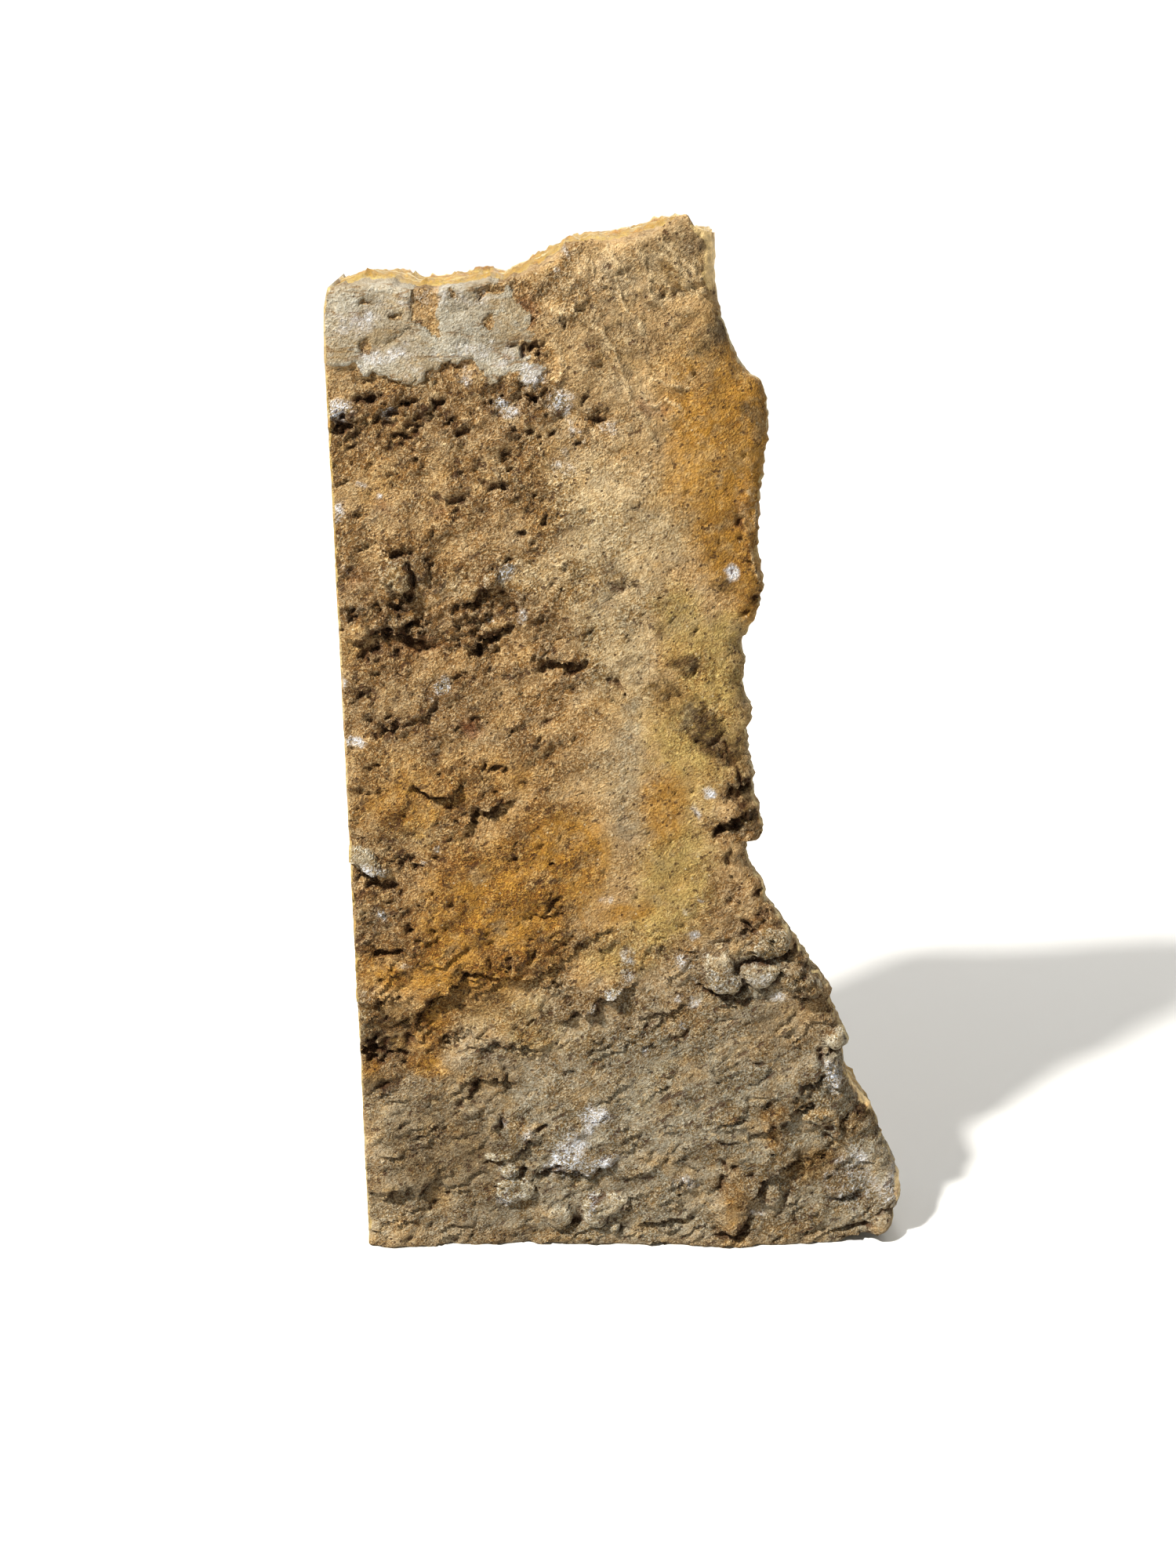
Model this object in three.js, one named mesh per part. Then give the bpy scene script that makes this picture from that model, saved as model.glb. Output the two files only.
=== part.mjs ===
// Onyx specimen: an offcut of banded calcite onyx that stands on a sawn foot.
// The front is the weathered outer rind of the vein, with ledges, plates, pits
// and ripples. The left side, the foot and the back are saw cuts. The top and
// the right side are broken, and flare out to a wide foot on the lower right.
// The stone formed as one piece, so it is one closed solid.
//
// Working axes, in millimetres: x runs right from the sawn left side, z runs
// up from the sawn foot, and y runs back from the mean plane of the front.
// The finished solid is moved so that its origin is the centre of its foot.

import * as THREE from 'three';

// ---- Driving dimensions ----

const SLAB_DEPTH = 28;        // mean plane of the front to the sawn back
const FOOT_LENGTH = 117;      // length of the sawn foot along the floor
const TOP_LEFT_HEIGHT = 226;  // front edge of the break above the left side
const SIDE_LEAN = 1;          // how far the sawn left side leans out, at its top
const GRID_COLUMNS = 42;      // facets across the front
const GRID_ROWS = 76;         // facets up the front
const WALL_STEPS = 6;         // facets through the depth of each side

// ---- Outline, seen from the front: [x, z] ----

// Left side: one straight saw cut, with its top corner knocked off.
const LEFT_EDGE = [
  [0, 0],
  [-SIDE_LEAN, 213],
  [-0.6, 222],
  [0.3, TOP_LEFT_HEIGHT],
];

// Broken right side, from the toe of the foot up to the top corner.
const RIGHT_EDGE = [
  [FOOT_LENGTH, 0], [119.5, 1.9], [123.8, 1.6], [126.6, 3.6], [128, 7.5],
  [129, 11.5], [128.3, 16.5], [126.8, 21.5], [124.3, 26], [122.9, 30],
  [120.8, 35], [116.5, 40.5], [113.8, 47], [113.5, 52], [114.2, 54.6],
  [112.2, 58.8], [110.2, 63.4], [109.3, 68], [105.2, 73], [101.4, 79.5],
  [98.2, 84.6], [94.6, 89.2], [93.1, 94], [90.2, 98], [89.2, 102.2],
  [89.4, 104.2], [92.3, 105], [92.4, 109.5], [90.6, 115], [90.1, 121],
  [88.6, 128.5], [89.4, 134.5], [87.4, 140.5], [87.6, 146.5], [87, 150],
  [89.7, 156], [91.3, 163], [90, 169.5], [89.9, 180], [90.8, 191],
  [91.2, 198.5], [89.8, 205.5], [85.3, 210], [82.3, 216], [80.3, 221.5],
  [79.3, 227], [79, 236.3],
];

// Top edge of the rind, from left to right, below the broken calcite.
const TOP_EDGE = [
  [0.3, TOP_LEFT_HEIGHT], [8, 226.6], [19, 225.7], [30, 226.7], [36, 227.2],
  [41.5, 229], [46, 231], [50, 234.6], [55, 235.2], [60, 235], [66, 236.5],
  [69.5, 238.9], [72.7, 240.2], [75, 237.6], [79, 236.3],
];

// ---- Relief of the front ----

// Ledges, each traced from left to right with the proud side above the line:
// how far the upper side rises, how far the lower side falls, and how far
// from the line the step fades out.
const LEDGES = [
  // the long undercut ledge that climbs to the right across the lower third
  {
    path: [[11, 57.5], [15, 62.8], [17.5, 66.8], [20.3, 66.1], [22.7, 70.9], [25, 73.2]],
    rise: 1.8, fall: 2.4, reach: 6,
  },
  {
    path: [[24, 73], [30.3, 72], [39.9, 71.3], [46.5, 75.1], [50.8, 79.7], [58, 84.4]],
    rise: 0.9, fall: 1.2, reach: 5,
  },
  // shorter steps below it
  { path: [[18.2, 53], [21.5, 55.5], [24.4, 58.7]], rise: 0.7, fall: 0.9, reach: 4 },
  { path: [[27, 53], [32, 54.2], [38, 54.3], [42, 53]], rise: 0.9, fall: 1, reach: 4 },
  {
    path: [[46, 60], [50, 61.8], [53, 62.8], [57, 66.3], [61, 69], [65, 70.5]],
    rise: 1.3, fall: 1.3, reach: 4,
  },
  { path: [[65, 60.5], [67, 61.4], [70, 61.6], [74, 64], [77, 65.5]], rise: 0.9, fall: 1, reach: 3.5 },
  {
    path: [[25, 40.5], [26.6, 43.6], [27.6, 45.6], [33.3, 45.4], [34, 48.2]],
    rise: 1.1, fall: 1.3, reach: 4,
  },
  { path: [[4.5, 12.7], [6, 14.8], [8, 16.2], [11, 16]], rise: 1.3, fall: 1.5, reach: 4.5 },
  { path: [[12, 12.8], [14, 15.4], [17.5, 19.2]], rise: 1, fall: 1.2, reach: 4 },
  { path: [[30, 31.4], [32.2, 33.5], [33, 35.5]], rise: 1, fall: 1.1, reach: 3.5 },
  { path: [[36.3, 23.8], [37.6, 26.6], [39, 28.8], [41, 28]], rise: 1.2, fall: 1.4, reach: 3.5 },
  {
    path: [[40.6, 19], [44, 20.7], [47, 21.8], [52, 21], [57, 22.4], [61, 24.4]],
    rise: 1.6, fall: 1.5, reach: 5,
  },
  { path: [[65.5, 5.5], [67, 6.8], [74, 7.7], [78.5, 8.9]], rise: 0.9, fall: 1, reach: 4 },
  {
    path: [[93.5, 13.5], [94.5, 16.5], [96, 19], [98.5, 21.3], [101.5, 21.2], [104, 25]],
    rise: 1.6, fall: 1.8, reach: 4.5,
  },
  {
    path: [[91, 29.5], [94, 31.5], [97, 31.8], [100, 33.8], [103, 36.3], [106.3, 37.5]],
    rise: 1.2, fall: 1.4, reach: 4,
  },
  { path: [[100, 40], [103, 40.8], [104.5, 43.3], [108.4, 44.3]], rise: 1, fall: 1.2, reach: 4 },
  { path: [[110, 11], [113, 12.3], [116.8, 12.3], [118.6, 14.8]], rise: 0.9, fall: 1.1, reach: 4 },
  // recesses of the upper left
  {
    path: [[0.5, 151.5], [5, 152.6], [10, 153.6], [15, 152], [19.5, 150.5]],
    rise: 0.8, fall: 1.9, reach: 4.5,
  },
  { path: [[27, 149.5], [31, 152], [36.5, 154.3]], rise: 1, fall: 2.1, reach: 4 },
  { path: [[42.5, 147.2], [46, 147.4], [49, 147], [53, 146.6]], rise: 0.8, fall: 1.5, reach: 3.5 },
  { path: [[25.5, 158.8], [28.5, 160.6], [31, 162.4], [35.5, 163.4]], rise: 0.9, fall: 1.3, reach: 4 },
  { path: [[14.5, 118.2], [18, 116], [21.8, 115.4], [24.6, 119]], rise: 0.8, fall: 1.7, reach: 4 },
  { path: [[25, 108.6], [28, 111.7], [32, 113.4], [36.5, 115]], rise: 0.9, fall: 1.9, reach: 4 },
  { path: [[81, 109], [84.5, 110.6], [88, 110.8]], rise: 0.8, fall: 1.6, reach: 4 },
  { path: [[84, 117], [87, 118.8], [91, 119]], rise: 0.7, fall: 1.5, reach: 4 },
];

// Lumps, plates and broad swells: [x, z, half length, half width, turn in
// degrees, height]. A height below zero makes a hollow.
const LUMPS = [
  // broad form of the front
  [28, 212, 42, 20, 0, 0.9],
  [60, 168, 15, 40, 8, 1.3],
  [90, 186, 10, 46, 0, -2.2],
  [12, 54, 15, 13, 30, -1.6],
  [38, 92, 28, 14, 25, 1.3],
  [26, 152, 28, 6, 0, -1.1],
  [64, 30, 34, 18, 20, 1],
  [118, 26, 14, 26, -10, -3.1],
  [104, 58, 10, 12, -35, -1.3],
  [8, 2, 8, 5, 0, 1.4],
  [38, 2, 16, 5, 0, -0.6],
  [88, 2, 12, 5, 0, 1.2],
  [70, 231, 9, 2.6, -20, 1.2],
  // plates and nodules
  [84.3, 73, 4.7, 5, 0, 2],
  [92.4, 71.8, 4.2, 2.8, 10, 1.6],
  [102.8, 69.8, 5.4, 3.6, -35, 1.4],
  [95.5, 80.5, 4.6, 3.2, -30, 1.5],
  [111.4, 55.3, 3, 2.4, -15, 2.2],
  [35.3, 15.6, 5.4, 3.2, 8, 1.5],
  [34.4, 21.4, 2.6, 2.4, 0, 1.1],
  [47, 8.2, 3.4, 3.2, 0, 1.4],
  [56.5, 10, 5.6, 3.8, 25, 1.6],
  [59.6, 5, 1.8, 1.8, 0, 1.2],
  [87, 13, 4.4, 8, -8, 1.4],
  [97.2, 14.4, 2.6, 3.4, -10, 1.3],
  [124, 4.8, 3.8, 2.4, 10, 1.8],
  [109.4, 35, 4.4, 3.6, 0, 1.4],
  [11.8, 166.4, 3.9, 4.1, 0, 2],
  [17.4, 167.4, 2.1, 2.6, 0, 1.1],
  [13, 155.6, 3.1, 2.2, 0, 1.3],
  [31.8, 165.5, 2.1, 2.1, 0, 1.2],
  [3, 100.8, 3.9, 3.8, -25, 2],
  [7, 98.2, 1.9, 2, 0, 1.2],
  [2.3, 67, 2.6, 2.3, 0, 1.3],
  [5, 18.4, 4.6, 2.2, 5, 1],
  [53, 64.4, 2.2, 1.4, 20, 0.9],
  [58.4, 68.2, 2.2, 1.3, 20, 0.9],
  [22.7, 117.8, 1.9, 1.7, 0, 1],
  // notches, cavities and pits
  [3, 52.2, 3.2, 2.2, 35, -2.8],
  [8.4, 51.8, 3, 1.4, 0, -1.8],
  [11.4, 54.8, 1.6, 1.3, 20, -1.9],
  [3.5, 95.4, 2.8, 1.5, -20, -2.2],
  [7.2, 93.6, 3.2, 1.4, -15, -1.6],
  [7.8, 77.9, 3.6, 1.3, 0, -2.2],
  [12.6, 84, 1.6, 2, -30, -1.8],
  [16.4, 64.6, 2, 2.4, -35, -1.8],
  [24, 70, 2, 3, -30, -1.8],
  [9.4, 132, 2.7, 2.3, 40, -2.3],
  [13.8, 132.3, 2.4, 1.2, 10, -1.4],
  [2.3, 139.6, 2.2, 1.2, 0, -1.6],
  [6.6, 149, 3.4, 2.2, 0, -1.9],
  [14.6, 155.2, 2.4, 1.2, 10, -1.8],
  [31.6, 151.2, 3.8, 2.3, 25, -1.9],
  [32, 122.3, 3, 1.8, -15, -1.6],
  [13.3, 100, 3, 1.1, 0, -1.9],
  [36, 100.9, 1.9, 1, 15, -1.6],
  [41, 213.4, 2, 1.4, 0, -2.2],
  [1.6, 197.6, 2, 1.6, 0, -2.2],
  [7.5, 208, 1.8, 1.1, 0, -1.5],
  [22, 202.6, 2.2, 1.4, 0, -1.5],
  [16, 196.6, 3.6, 3, 30, -1.4],
  [42.2, 203.5, 1.5, 1.5, 0, -1.4],
  [55.3, 199.3, 2, 1.2, 0, -1.5],
  [60.8, 163.7, 4.6, 1.5, 5, -1],
  [86.6, 116.8, 2.8, 1.6, 5, -1.7],
  [84.4, 108.3, 3.2, 1.5, 20, -1.9],
  [91.6, 92.3, 1.6, 1.3, 0, -1.8],
  [90, 84, 2, 1.2, -20, -1.5],
  [99.4, 77.4, 2.6, 1.6, 0, -2],
  [111.6, 52, 2, 1.3, 10, -2.4],
  [107.4, 50.8, 1, 2.4, 0, -1.6],
  [101.5, 21.6, 2.6, 1.5, 10, -2.3],
  [98.5, 21.4, 1.8, 0.9, 0, -1.6],
  [37.4, 21, 1, 1.7, 0, -1.8],
  [118, 4.7, 3.6, 1, 5, -1.8],
  [125.6, 8, 2.8, 0.9, 0, -1.6],
  [86.6, 3, 3.2, 1.8, 25, -1.7],
];

// Smooth outer skin left on the upper left: proud of the rough rind below it.
const SKIN_RISE = 1;
const SKIN_RIGHT = 41;
const SKIN_LOWER_EDGE = [
  [-2, 211], [6, 210], [15, 207.4], [20, 209], [28, 211.6], [33, 206.6], [38, 208.6],
  [42, 205],
];

// Ripples of the lower rind climb to the right; the upper rind is crumpled.
const RIPPLE_TURN = 32;      // degrees
const RIPPLE_LENGTH = 5.2;
const RIPPLE_HEIGHT = 0.8;
const RIPPLE_TOP = 84;
const CRUMPLE_SIZE = 7.5;
const CRUMPLE_HEIGHT = 0.6;

// Patches where the rind has crumbled to clods and grit: [x, z, half length,
// half width, turn in degrees, how far the clods stand out].
const CLOD_SIZE = 4.6;
const GRIT_SIZE = 3;
const CRUMBLED = [
  [20, 200, 28, 8, 0, 1.2],
  [44, 198, 14, 8, -20, 0.8],
  [32, 184, 14, 9, -20, 0.9],
  [8, 190, 14, 8, 0, 0.7],
  [22, 156, 30, 11, 0, 1.3],
  [47, 146, 10, 4, 0, 0.9],
  [14, 137, 16, 8, 15, 0.7],
  [28, 110, 12, 6, 25, 0.8],
  [8, 86, 12, 12, 0, 0.9],
  [40, 75, 14, 4, 18, 1.2],
  [8, 58, 12, 12, 0, 0.9],
  [88, 88, 8, 7, 0, 1.1],
  [88, 112, 5, 9, 0, 0.8],
  [98, 76, 10, 7, 0, 0.9],
  [104, 26, 20, 22, 0, 0.8],
  [40, 20, 16, 14, 0, 0.6],
  [60, 216, 14, 24, 10, 0.5],
];

// Edges of the front: the rind rolls back on the right and a little at the
// top, and the top right corner is knocked off in a sloping break.
const RIGHT_ROLL = 4.5;
const TOP_ROLL = 1.2;
const TOP_ROLL_END = 0.9;    // how far along the top edge the roll runs
const CORNER_BREAK = { from: [72.7, 240.2], to: [79.6, 224.5], slope: 0.65, most: 6 };

// ---- Broken sides ----

// How far the back is set in from the front outline: [z, inset] up the right.
const RIGHT_INSET = [
  [0, 0], [10, 2.5], [30, 3], [60, 4.6], [90, 4.6], [110, 2], [150, 2], [200, 2.5],
  [222, 1], [240, 0],
];
const BREAK_FACET = 4.8;      // size of the facets of broken calcite
const BREAK_HEIGHT = 1.5;     // how far they stand out

// Crests of the broken top, above the edge of the rind: [x, rise].
const TOP_CREST = [
  [0, -0.6], [4, 0.3], [12, 1], [20, -0.4], [27, 0.5], [36, 0.2], [41, 0.8],
  [46, 1.2], [51, -0.8], [60, 0.6], [66, 0.4], [72, -2], [79, 0],
];

// ---- Small helpers ----

const fraction = (value) => value - Math.floor(value);
const smoothStep = (low, high, value) => THREE.MathUtils.smoothstep(value, low, high);

function latticeValue(i, j, seed) {
  return fraction(Math.sin(i * 127.1 + j * 311.7 + seed * 74.7) * 43758.5453) * 2 - 1;
}

// Smooth noise between -1 and 1, with one bump about every unit.
function noise(x, z, seed) {
  const i = Math.floor(x);
  const j = Math.floor(z);
  const a = smoothStep(0, 1, x - i);
  const b = smoothStep(0, 1, z - j);
  const near = THREE.MathUtils.lerp(latticeValue(i, j, seed), latticeValue(i + 1, j, seed), a);
  const far = THREE.MathUtils.lerp(latticeValue(i, j + 1, seed), latticeValue(i + 1, j + 1, seed), a);
  return THREE.MathUtils.lerp(near, far, b);
}

// Straight-line reading of a list of [position, value] pairs.
function readProfile(pairs, position) {
  const next = pairs.findIndex((pair) => pair[0] > position);
  if (next === 0) return pairs[0][1];
  if (next < 0) return pairs[pairs.length - 1][1];
  const [startAt, startValue] = pairs[next - 1];
  const [endAt, endValue] = pairs[next];
  return startValue + (endValue - startValue) * (position - startAt) / (endAt - startAt);
}

// Points evenly spaced along a smooth curve through the outline's points.
function spacedPoints(outline, count, tension) {
  const points = outline.map(([x, z]) => new THREE.Vector3(x, z, 0));
  const curve = new THREE.CatmullRomCurve3(points, false, 'catmullrom', tension);
  curve.arcLengthDivisions = 2000;
  return curve.getSpacedPoints(count).map((point) => new THREE.Vector2(point.x, point.y));
}

// ---- Relief functions: how far the front stands proud at x, z ----

// Nearest point of a path: signed distance (positive above it) and how far
// along the path it lies, from 0 to 1.
function measurePath(path, x, z) {
  let best = { distance: Infinity, side: 1, along: 0 };
  for (let k = 0; k < path.length - 1; k += 1) {
    const [startX, startZ] = path[k];
    const stepX = path[k + 1][0] - startX;
    const stepZ = path[k + 1][1] - startZ;
    const reach = ((x - startX) * stepX + (z - startZ) * stepZ) / (stepX * stepX + stepZ * stepZ);
    const part = THREE.MathUtils.clamp(reach, 0, 1);
    const awayX = x - startX - stepX * part;
    const awayZ = z - startZ - stepZ * part;
    const distance = Math.hypot(awayX, awayZ);
    if (distance < best.distance) {
      const side = stepX * awayZ - stepZ * awayX >= 0 ? 1 : -1;
      best = { distance, side, along: (k + part) / (path.length - 1) };
    }
  }
  return best;
}

// A step that fades away from its line and at both its ends.
function ledgeRelief(ledge, x, z) {
  const { distance, side, along } = measurePath(ledge.path, x, z);
  const taper = Math.sqrt(Math.max(Math.sin(Math.PI * along), 0));
  const fade = taper * Math.exp(-distance / ledge.reach);
  return side > 0 ? ledge.rise * fade : -ledge.fall * fade;
}

// A soft-edged oval of its own height, level in the middle.
function lumpRelief([centreX, centreZ, halfLength, halfWidth, turn, height], x, z) {
  const angle = THREE.MathUtils.degToRad(turn);
  const along = (x - centreX) * Math.cos(angle) + (z - centreZ) * Math.sin(angle);
  const across = (z - centreZ) * Math.cos(angle) - (x - centreX) * Math.sin(angle);
  const radius = (along / halfLength) ** 2 + (across / halfWidth) ** 2;
  return height * Math.exp(-(radius ** 1.5));
}

// The smooth skin of the upper left stands proud of the rind round it.
function skinRelief(x, z) {
  const lowerEdge = readProfile(SKIN_LOWER_EDGE, x);
  const above = smoothStep(lowerEdge - 1.2, lowerEdge + 1.2, z);
  const leftward = 1 - smoothStep(SKIN_RIGHT - 3, SKIN_RIGHT + 3, x);
  return SKIN_RISE * above * leftward;
}

// Long crests with creases between them, on the lower rind only.
function rippleRelief(x, z) {
  const angle = THREE.MathUtils.degToRad(RIPPLE_TURN);
  const along = x * Math.cos(angle) + z * Math.sin(angle);
  const across = z * Math.cos(angle) - x * Math.sin(angle);
  const crest = noise(along / (RIPPLE_LENGTH * 2.4), across / RIPPLE_LENGTH, 3);
  return RIPPLE_HEIGHT * (1 - 2 * Math.abs(crest)) * (1 - smoothStep(RIPPLE_TOP - 12, RIPPLE_TOP + 6, z));
}

// Soft bumps all over, strongest on the left.
function crumpleRelief(x, z) {
  const rough = 0.35 + 0.65 * (1 - smoothStep(40, 62, x));
  const coarse = noise(x / CRUMPLE_SIZE, z / CRUMPLE_SIZE, 5);
  const fine = noise(2 * x / CRUMPLE_SIZE, 2 * z / CRUMPLE_SIZE, 9);
  return CRUMPLE_HEIGHT * rough * (coarse + 0.6 * fine);
}

// Clods parted by creases, with grit over them, in the crumbled patches.
function clodRelief(x, z) {
  const crumbled = CRUMBLED.reduce((sum, patch) => sum + lumpRelief(patch, x, z), 0);
  const clods = 0.3 - Math.abs(noise(x / CLOD_SIZE, z / CLOD_SIZE, 21));
  const grit = 0.8 * noise(x / GRIT_SIZE, z / GRIT_SIZE, 25);
  return crumbled * (clods + grit);
}

// The corner falls away beyond its break line, down to a level floor.
function cornerBreak(x, z) {
  const { from, to, slope, most } = CORNER_BREAK;
  const lineX = to[0] - from[0];
  const lineZ = to[1] - from[1];
  const beyond = ((z - from[1]) * lineX - (x - from[0]) * lineZ) / Math.hypot(lineX, lineZ);
  return -Math.min(Math.max(beyond, 0) * slope, most);
}

// A quarter round that falls away within one radius of the edge.
function edgeRoll(distance, radius) {
  const inside = THREE.MathUtils.clamp(radius - distance, 0, radius);
  return Math.sqrt(radius * radius - inside * inside) - radius;
}

function frontRelief(x, z, fromRight, fromTop) {
  let relief = skinRelief(x, z) + rippleRelief(x, z) + crumpleRelief(x, z) + clodRelief(x, z);
  for (const ledge of LEDGES) relief += ledgeRelief(ledge, x, z);
  for (const lump of LUMPS) relief += lumpRelief(lump, x, z);
  const rolled = edgeRoll(fromRight, RIGHT_ROLL) + edgeRoll(fromTop, TOP_ROLL);
  return relief + rolled + cornerBreak(x, z);
}

// ---- The front as a grid stretched inside the outline ----

function frontGrid() {
  const left = spacedPoints(LEFT_EDGE, GRID_ROWS, 0);
  const right = spacedPoints(RIGHT_EDGE, GRID_ROWS, 0.5);
  const top = spacedPoints(TOP_EDGE, GRID_COLUMNS, 0.5);
  const grid = [];
  for (let row = 0; row <= GRID_ROWS; row += 1) {
    const v = row / GRID_ROWS;
    for (let column = 0; column <= GRID_COLUMNS; column += 1) {
      const u = column / GRID_COLUMNS;
      const foot = new THREE.Vector2(FOOT_LENGTH * u, 0);
      const point = new THREE.Vector2();
      point.addScaledVector(foot, 1 - v).addScaledVector(top[column], v);
      point.addScaledVector(left[row], 1 - u).addScaledVector(right[row], u);
      point.addScaledVector(left[0], -(1 - u) * (1 - v)).addScaledVector(right[0], -u * (1 - v));
      point.addScaledVector(left[GRID_ROWS], -(1 - u) * v).addScaledVector(right[GRID_ROWS], -u * v);
      const fromRight = right[row].x - point.x;
      const fromTop = u < TOP_ROLL_END ? top[column].y - point.y : TOP_ROLL;
      grid.push({ x: point.x, z: point.y, y: -frontRelief(point.x, point.y, fromRight, fromTop) });
    }
  }
  return grid;
}

// Grid numbers round the rim of the front, anticlockwise seen from the front.
function rimNumbers() {
  const number = (column, row) => row * (GRID_COLUMNS + 1) + column;
  const rim = [];
  const add = (column, row, side) => rim.push({ index: number(column, row), side });
  for (let column = 0; column < GRID_COLUMNS; column += 1) add(column, 0, 'foot');
  for (let row = 0; row < GRID_ROWS; row += 1) add(GRID_COLUMNS, row, 'right');
  for (let column = GRID_COLUMNS; column > 0; column -= 1) add(column, GRID_ROWS, 'top');
  for (let row = GRID_ROWS; row > 0; row -= 1) add(0, row, 'left');
  return rim;
}

// How far a side's surface lies outside the front outline, at a given depth
// fraction from 0 at the front to 1 at the back.
function sideOffset(side, x, z, depth) {
  if (side === 'foot' || side === 'left') return 0;
  const along = side === 'top' ? x : z;
  const facet = BREAK_HEIGHT * noise(along / BREAK_FACET, depth * SLAB_DEPTH / BREAK_FACET, 17);
  if (side === 'top') {
    return (readProfile(TOP_CREST, x) + facet) * Math.sin(Math.PI * Math.min(depth * 1.5, 1) / 2);
  }
  const uneven = facet * Math.sin(Math.PI * depth * 0.7) * smoothStep(4, 16, z);
  return uneven - readProfile(RIGHT_INSET, z) * depth;
}

// ---- The closed solid ----

function slabGeometry() {
  const grid = frontGrid();
  const rim = rimNumbers();
  const vertices = grid.map(({ x, y, z }) => [x, y, z]);
  const triangles = [];
  const addQuad = (a, b, c, d) => triangles.push(a, b, c, a, c, d);

  for (let row = 0; row < GRID_ROWS; row += 1) {
    for (let column = 0; column < GRID_COLUMNS; column += 1) {
      const corner = row * (GRID_COLUMNS + 1) + column;
      addQuad(corner, corner + 1, corner + GRID_COLUMNS + 2, corner + GRID_COLUMNS + 1);
    }
  }

  const rings = [rim.map(({ index }) => index)];
  for (let step = 1; step <= WALL_STEPS; step += 1) {
    const depth = step / WALL_STEPS;
    rings.push(rim.map(({ index, side }, place) => {
      const start = grid[index];
      const before = grid[rim[(place + rim.length - 1) % rim.length].index];
      const after = grid[rim[(place + 1) % rim.length].index];
      const outward = new THREE.Vector2(after.z - before.z, before.x - after.x).normalize();
      if (side === 'top') outward.set(0, 1);
      const offset = sideOffset(side, start.x, start.z, depth);
      const y = THREE.MathUtils.lerp(start.y, SLAB_DEPTH, depth);
      vertices.push([start.x + outward.x * offset, y, Math.max(start.z + outward.y * offset, 0)]);
      return vertices.length - 1;
    }));
  }
  for (let step = 0; step < WALL_STEPS; step += 1) {
    rings[step].forEach((front, place) => {
      const next = (place + 1) % rim.length;
      addQuad(front, rings[step + 1][place], rings[step + 1][next], rings[step][next]);
    });
  }

  const backRing = rings[WALL_STEPS];
  const backOutline = backRing.map((index) => new THREE.Vector2(vertices[index][0], vertices[index][2]));
  for (const [a, b, c] of THREE.ShapeUtils.triangulateShape(backOutline, [])) {
    triangles.push(backRing[a], backRing[c], backRing[b]);
  }

  const geometry = new THREE.BufferGeometry();
  geometry.setAttribute('position', new THREE.Float32BufferAttribute(vertices.flat(), 3));
  geometry.setIndex(triangles);
  geometry.computeBoundingBox();
  const centre = geometry.boundingBox.getCenter(new THREE.Vector3());
  geometry.translate(-centre.x, -centre.y, 0);
  geometry.computeVertexNormals();
  return geometry;
}

function onyxSlab() {
  const material = new THREE.MeshStandardMaterial({ color: 0xa98a5c, roughness: 0.92, metalness: 0 });
  const mesh = new THREE.Mesh(slabGeometry(), material);
  mesh.name = 'onyx_slab';
  return mesh;
}

const specimen = new THREE.Group();
specimen.add(onyxSlab());

export default specimen;
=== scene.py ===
"""Onyx specimen: a slab of banded calcite onyx with its weathered rind, standing on its sawn foot.

The slab is one mesh. Its front is a fine grid stretched inside the slab's outline and raised by
ledges, plates, crevices and pits with crumbly noise between them. The top and the right
side are broken calcite, and the left side, the foot and the back are saw cuts.

Slab coordinates, in millimetres: x runs right from the sawn left side, z runs up from the foot and
y runs back from the mean plane of the front.
"""

import math

import bpy
import numpy as np
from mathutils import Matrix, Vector


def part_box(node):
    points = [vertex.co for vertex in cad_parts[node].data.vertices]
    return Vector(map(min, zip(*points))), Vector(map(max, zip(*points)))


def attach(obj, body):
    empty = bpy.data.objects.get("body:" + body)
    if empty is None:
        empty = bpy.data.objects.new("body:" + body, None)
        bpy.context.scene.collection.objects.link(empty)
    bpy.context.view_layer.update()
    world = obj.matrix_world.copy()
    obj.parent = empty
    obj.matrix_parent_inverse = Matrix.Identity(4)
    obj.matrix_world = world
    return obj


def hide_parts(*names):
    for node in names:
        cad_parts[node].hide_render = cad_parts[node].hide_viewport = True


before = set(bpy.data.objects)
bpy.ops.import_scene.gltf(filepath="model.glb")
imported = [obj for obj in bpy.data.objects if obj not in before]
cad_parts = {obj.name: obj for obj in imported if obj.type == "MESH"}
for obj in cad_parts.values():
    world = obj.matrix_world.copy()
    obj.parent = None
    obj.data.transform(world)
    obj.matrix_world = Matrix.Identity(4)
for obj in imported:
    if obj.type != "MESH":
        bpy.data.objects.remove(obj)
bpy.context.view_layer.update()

# ---- Driving sizes, in millimetres ----

METRES = 0.001
SLAB_DEPTH = 28.0
FOOT_LENGTH = 117.0
TOP_LEFT_HEIGHT = 226.0
SIDE_LEAN = 1.0
COLUMNS = 188       # facets across the front
ROWS = 392          # facets up the front
SIDE_STEPS = 15     # facets through the depth of each side
CURVE_STEPS = 24    # points on the curve between two points of an outline
RIM_SMOOTHING = 14  # neighbours on each side that the rim's direction is averaged over
SHARP_ANGLE = 60    # degrees between two facets above which their edge stays sharp
FOOT, RIGHT, TOP, LEFT = range(4)

# ---- Outline, seen from the front: (x, z) ----

LEFT_EDGE = [(0, 0), (-SIDE_LEAN, 213), (-0.6, 222), (0.3, TOP_LEFT_HEIGHT)]

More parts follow.
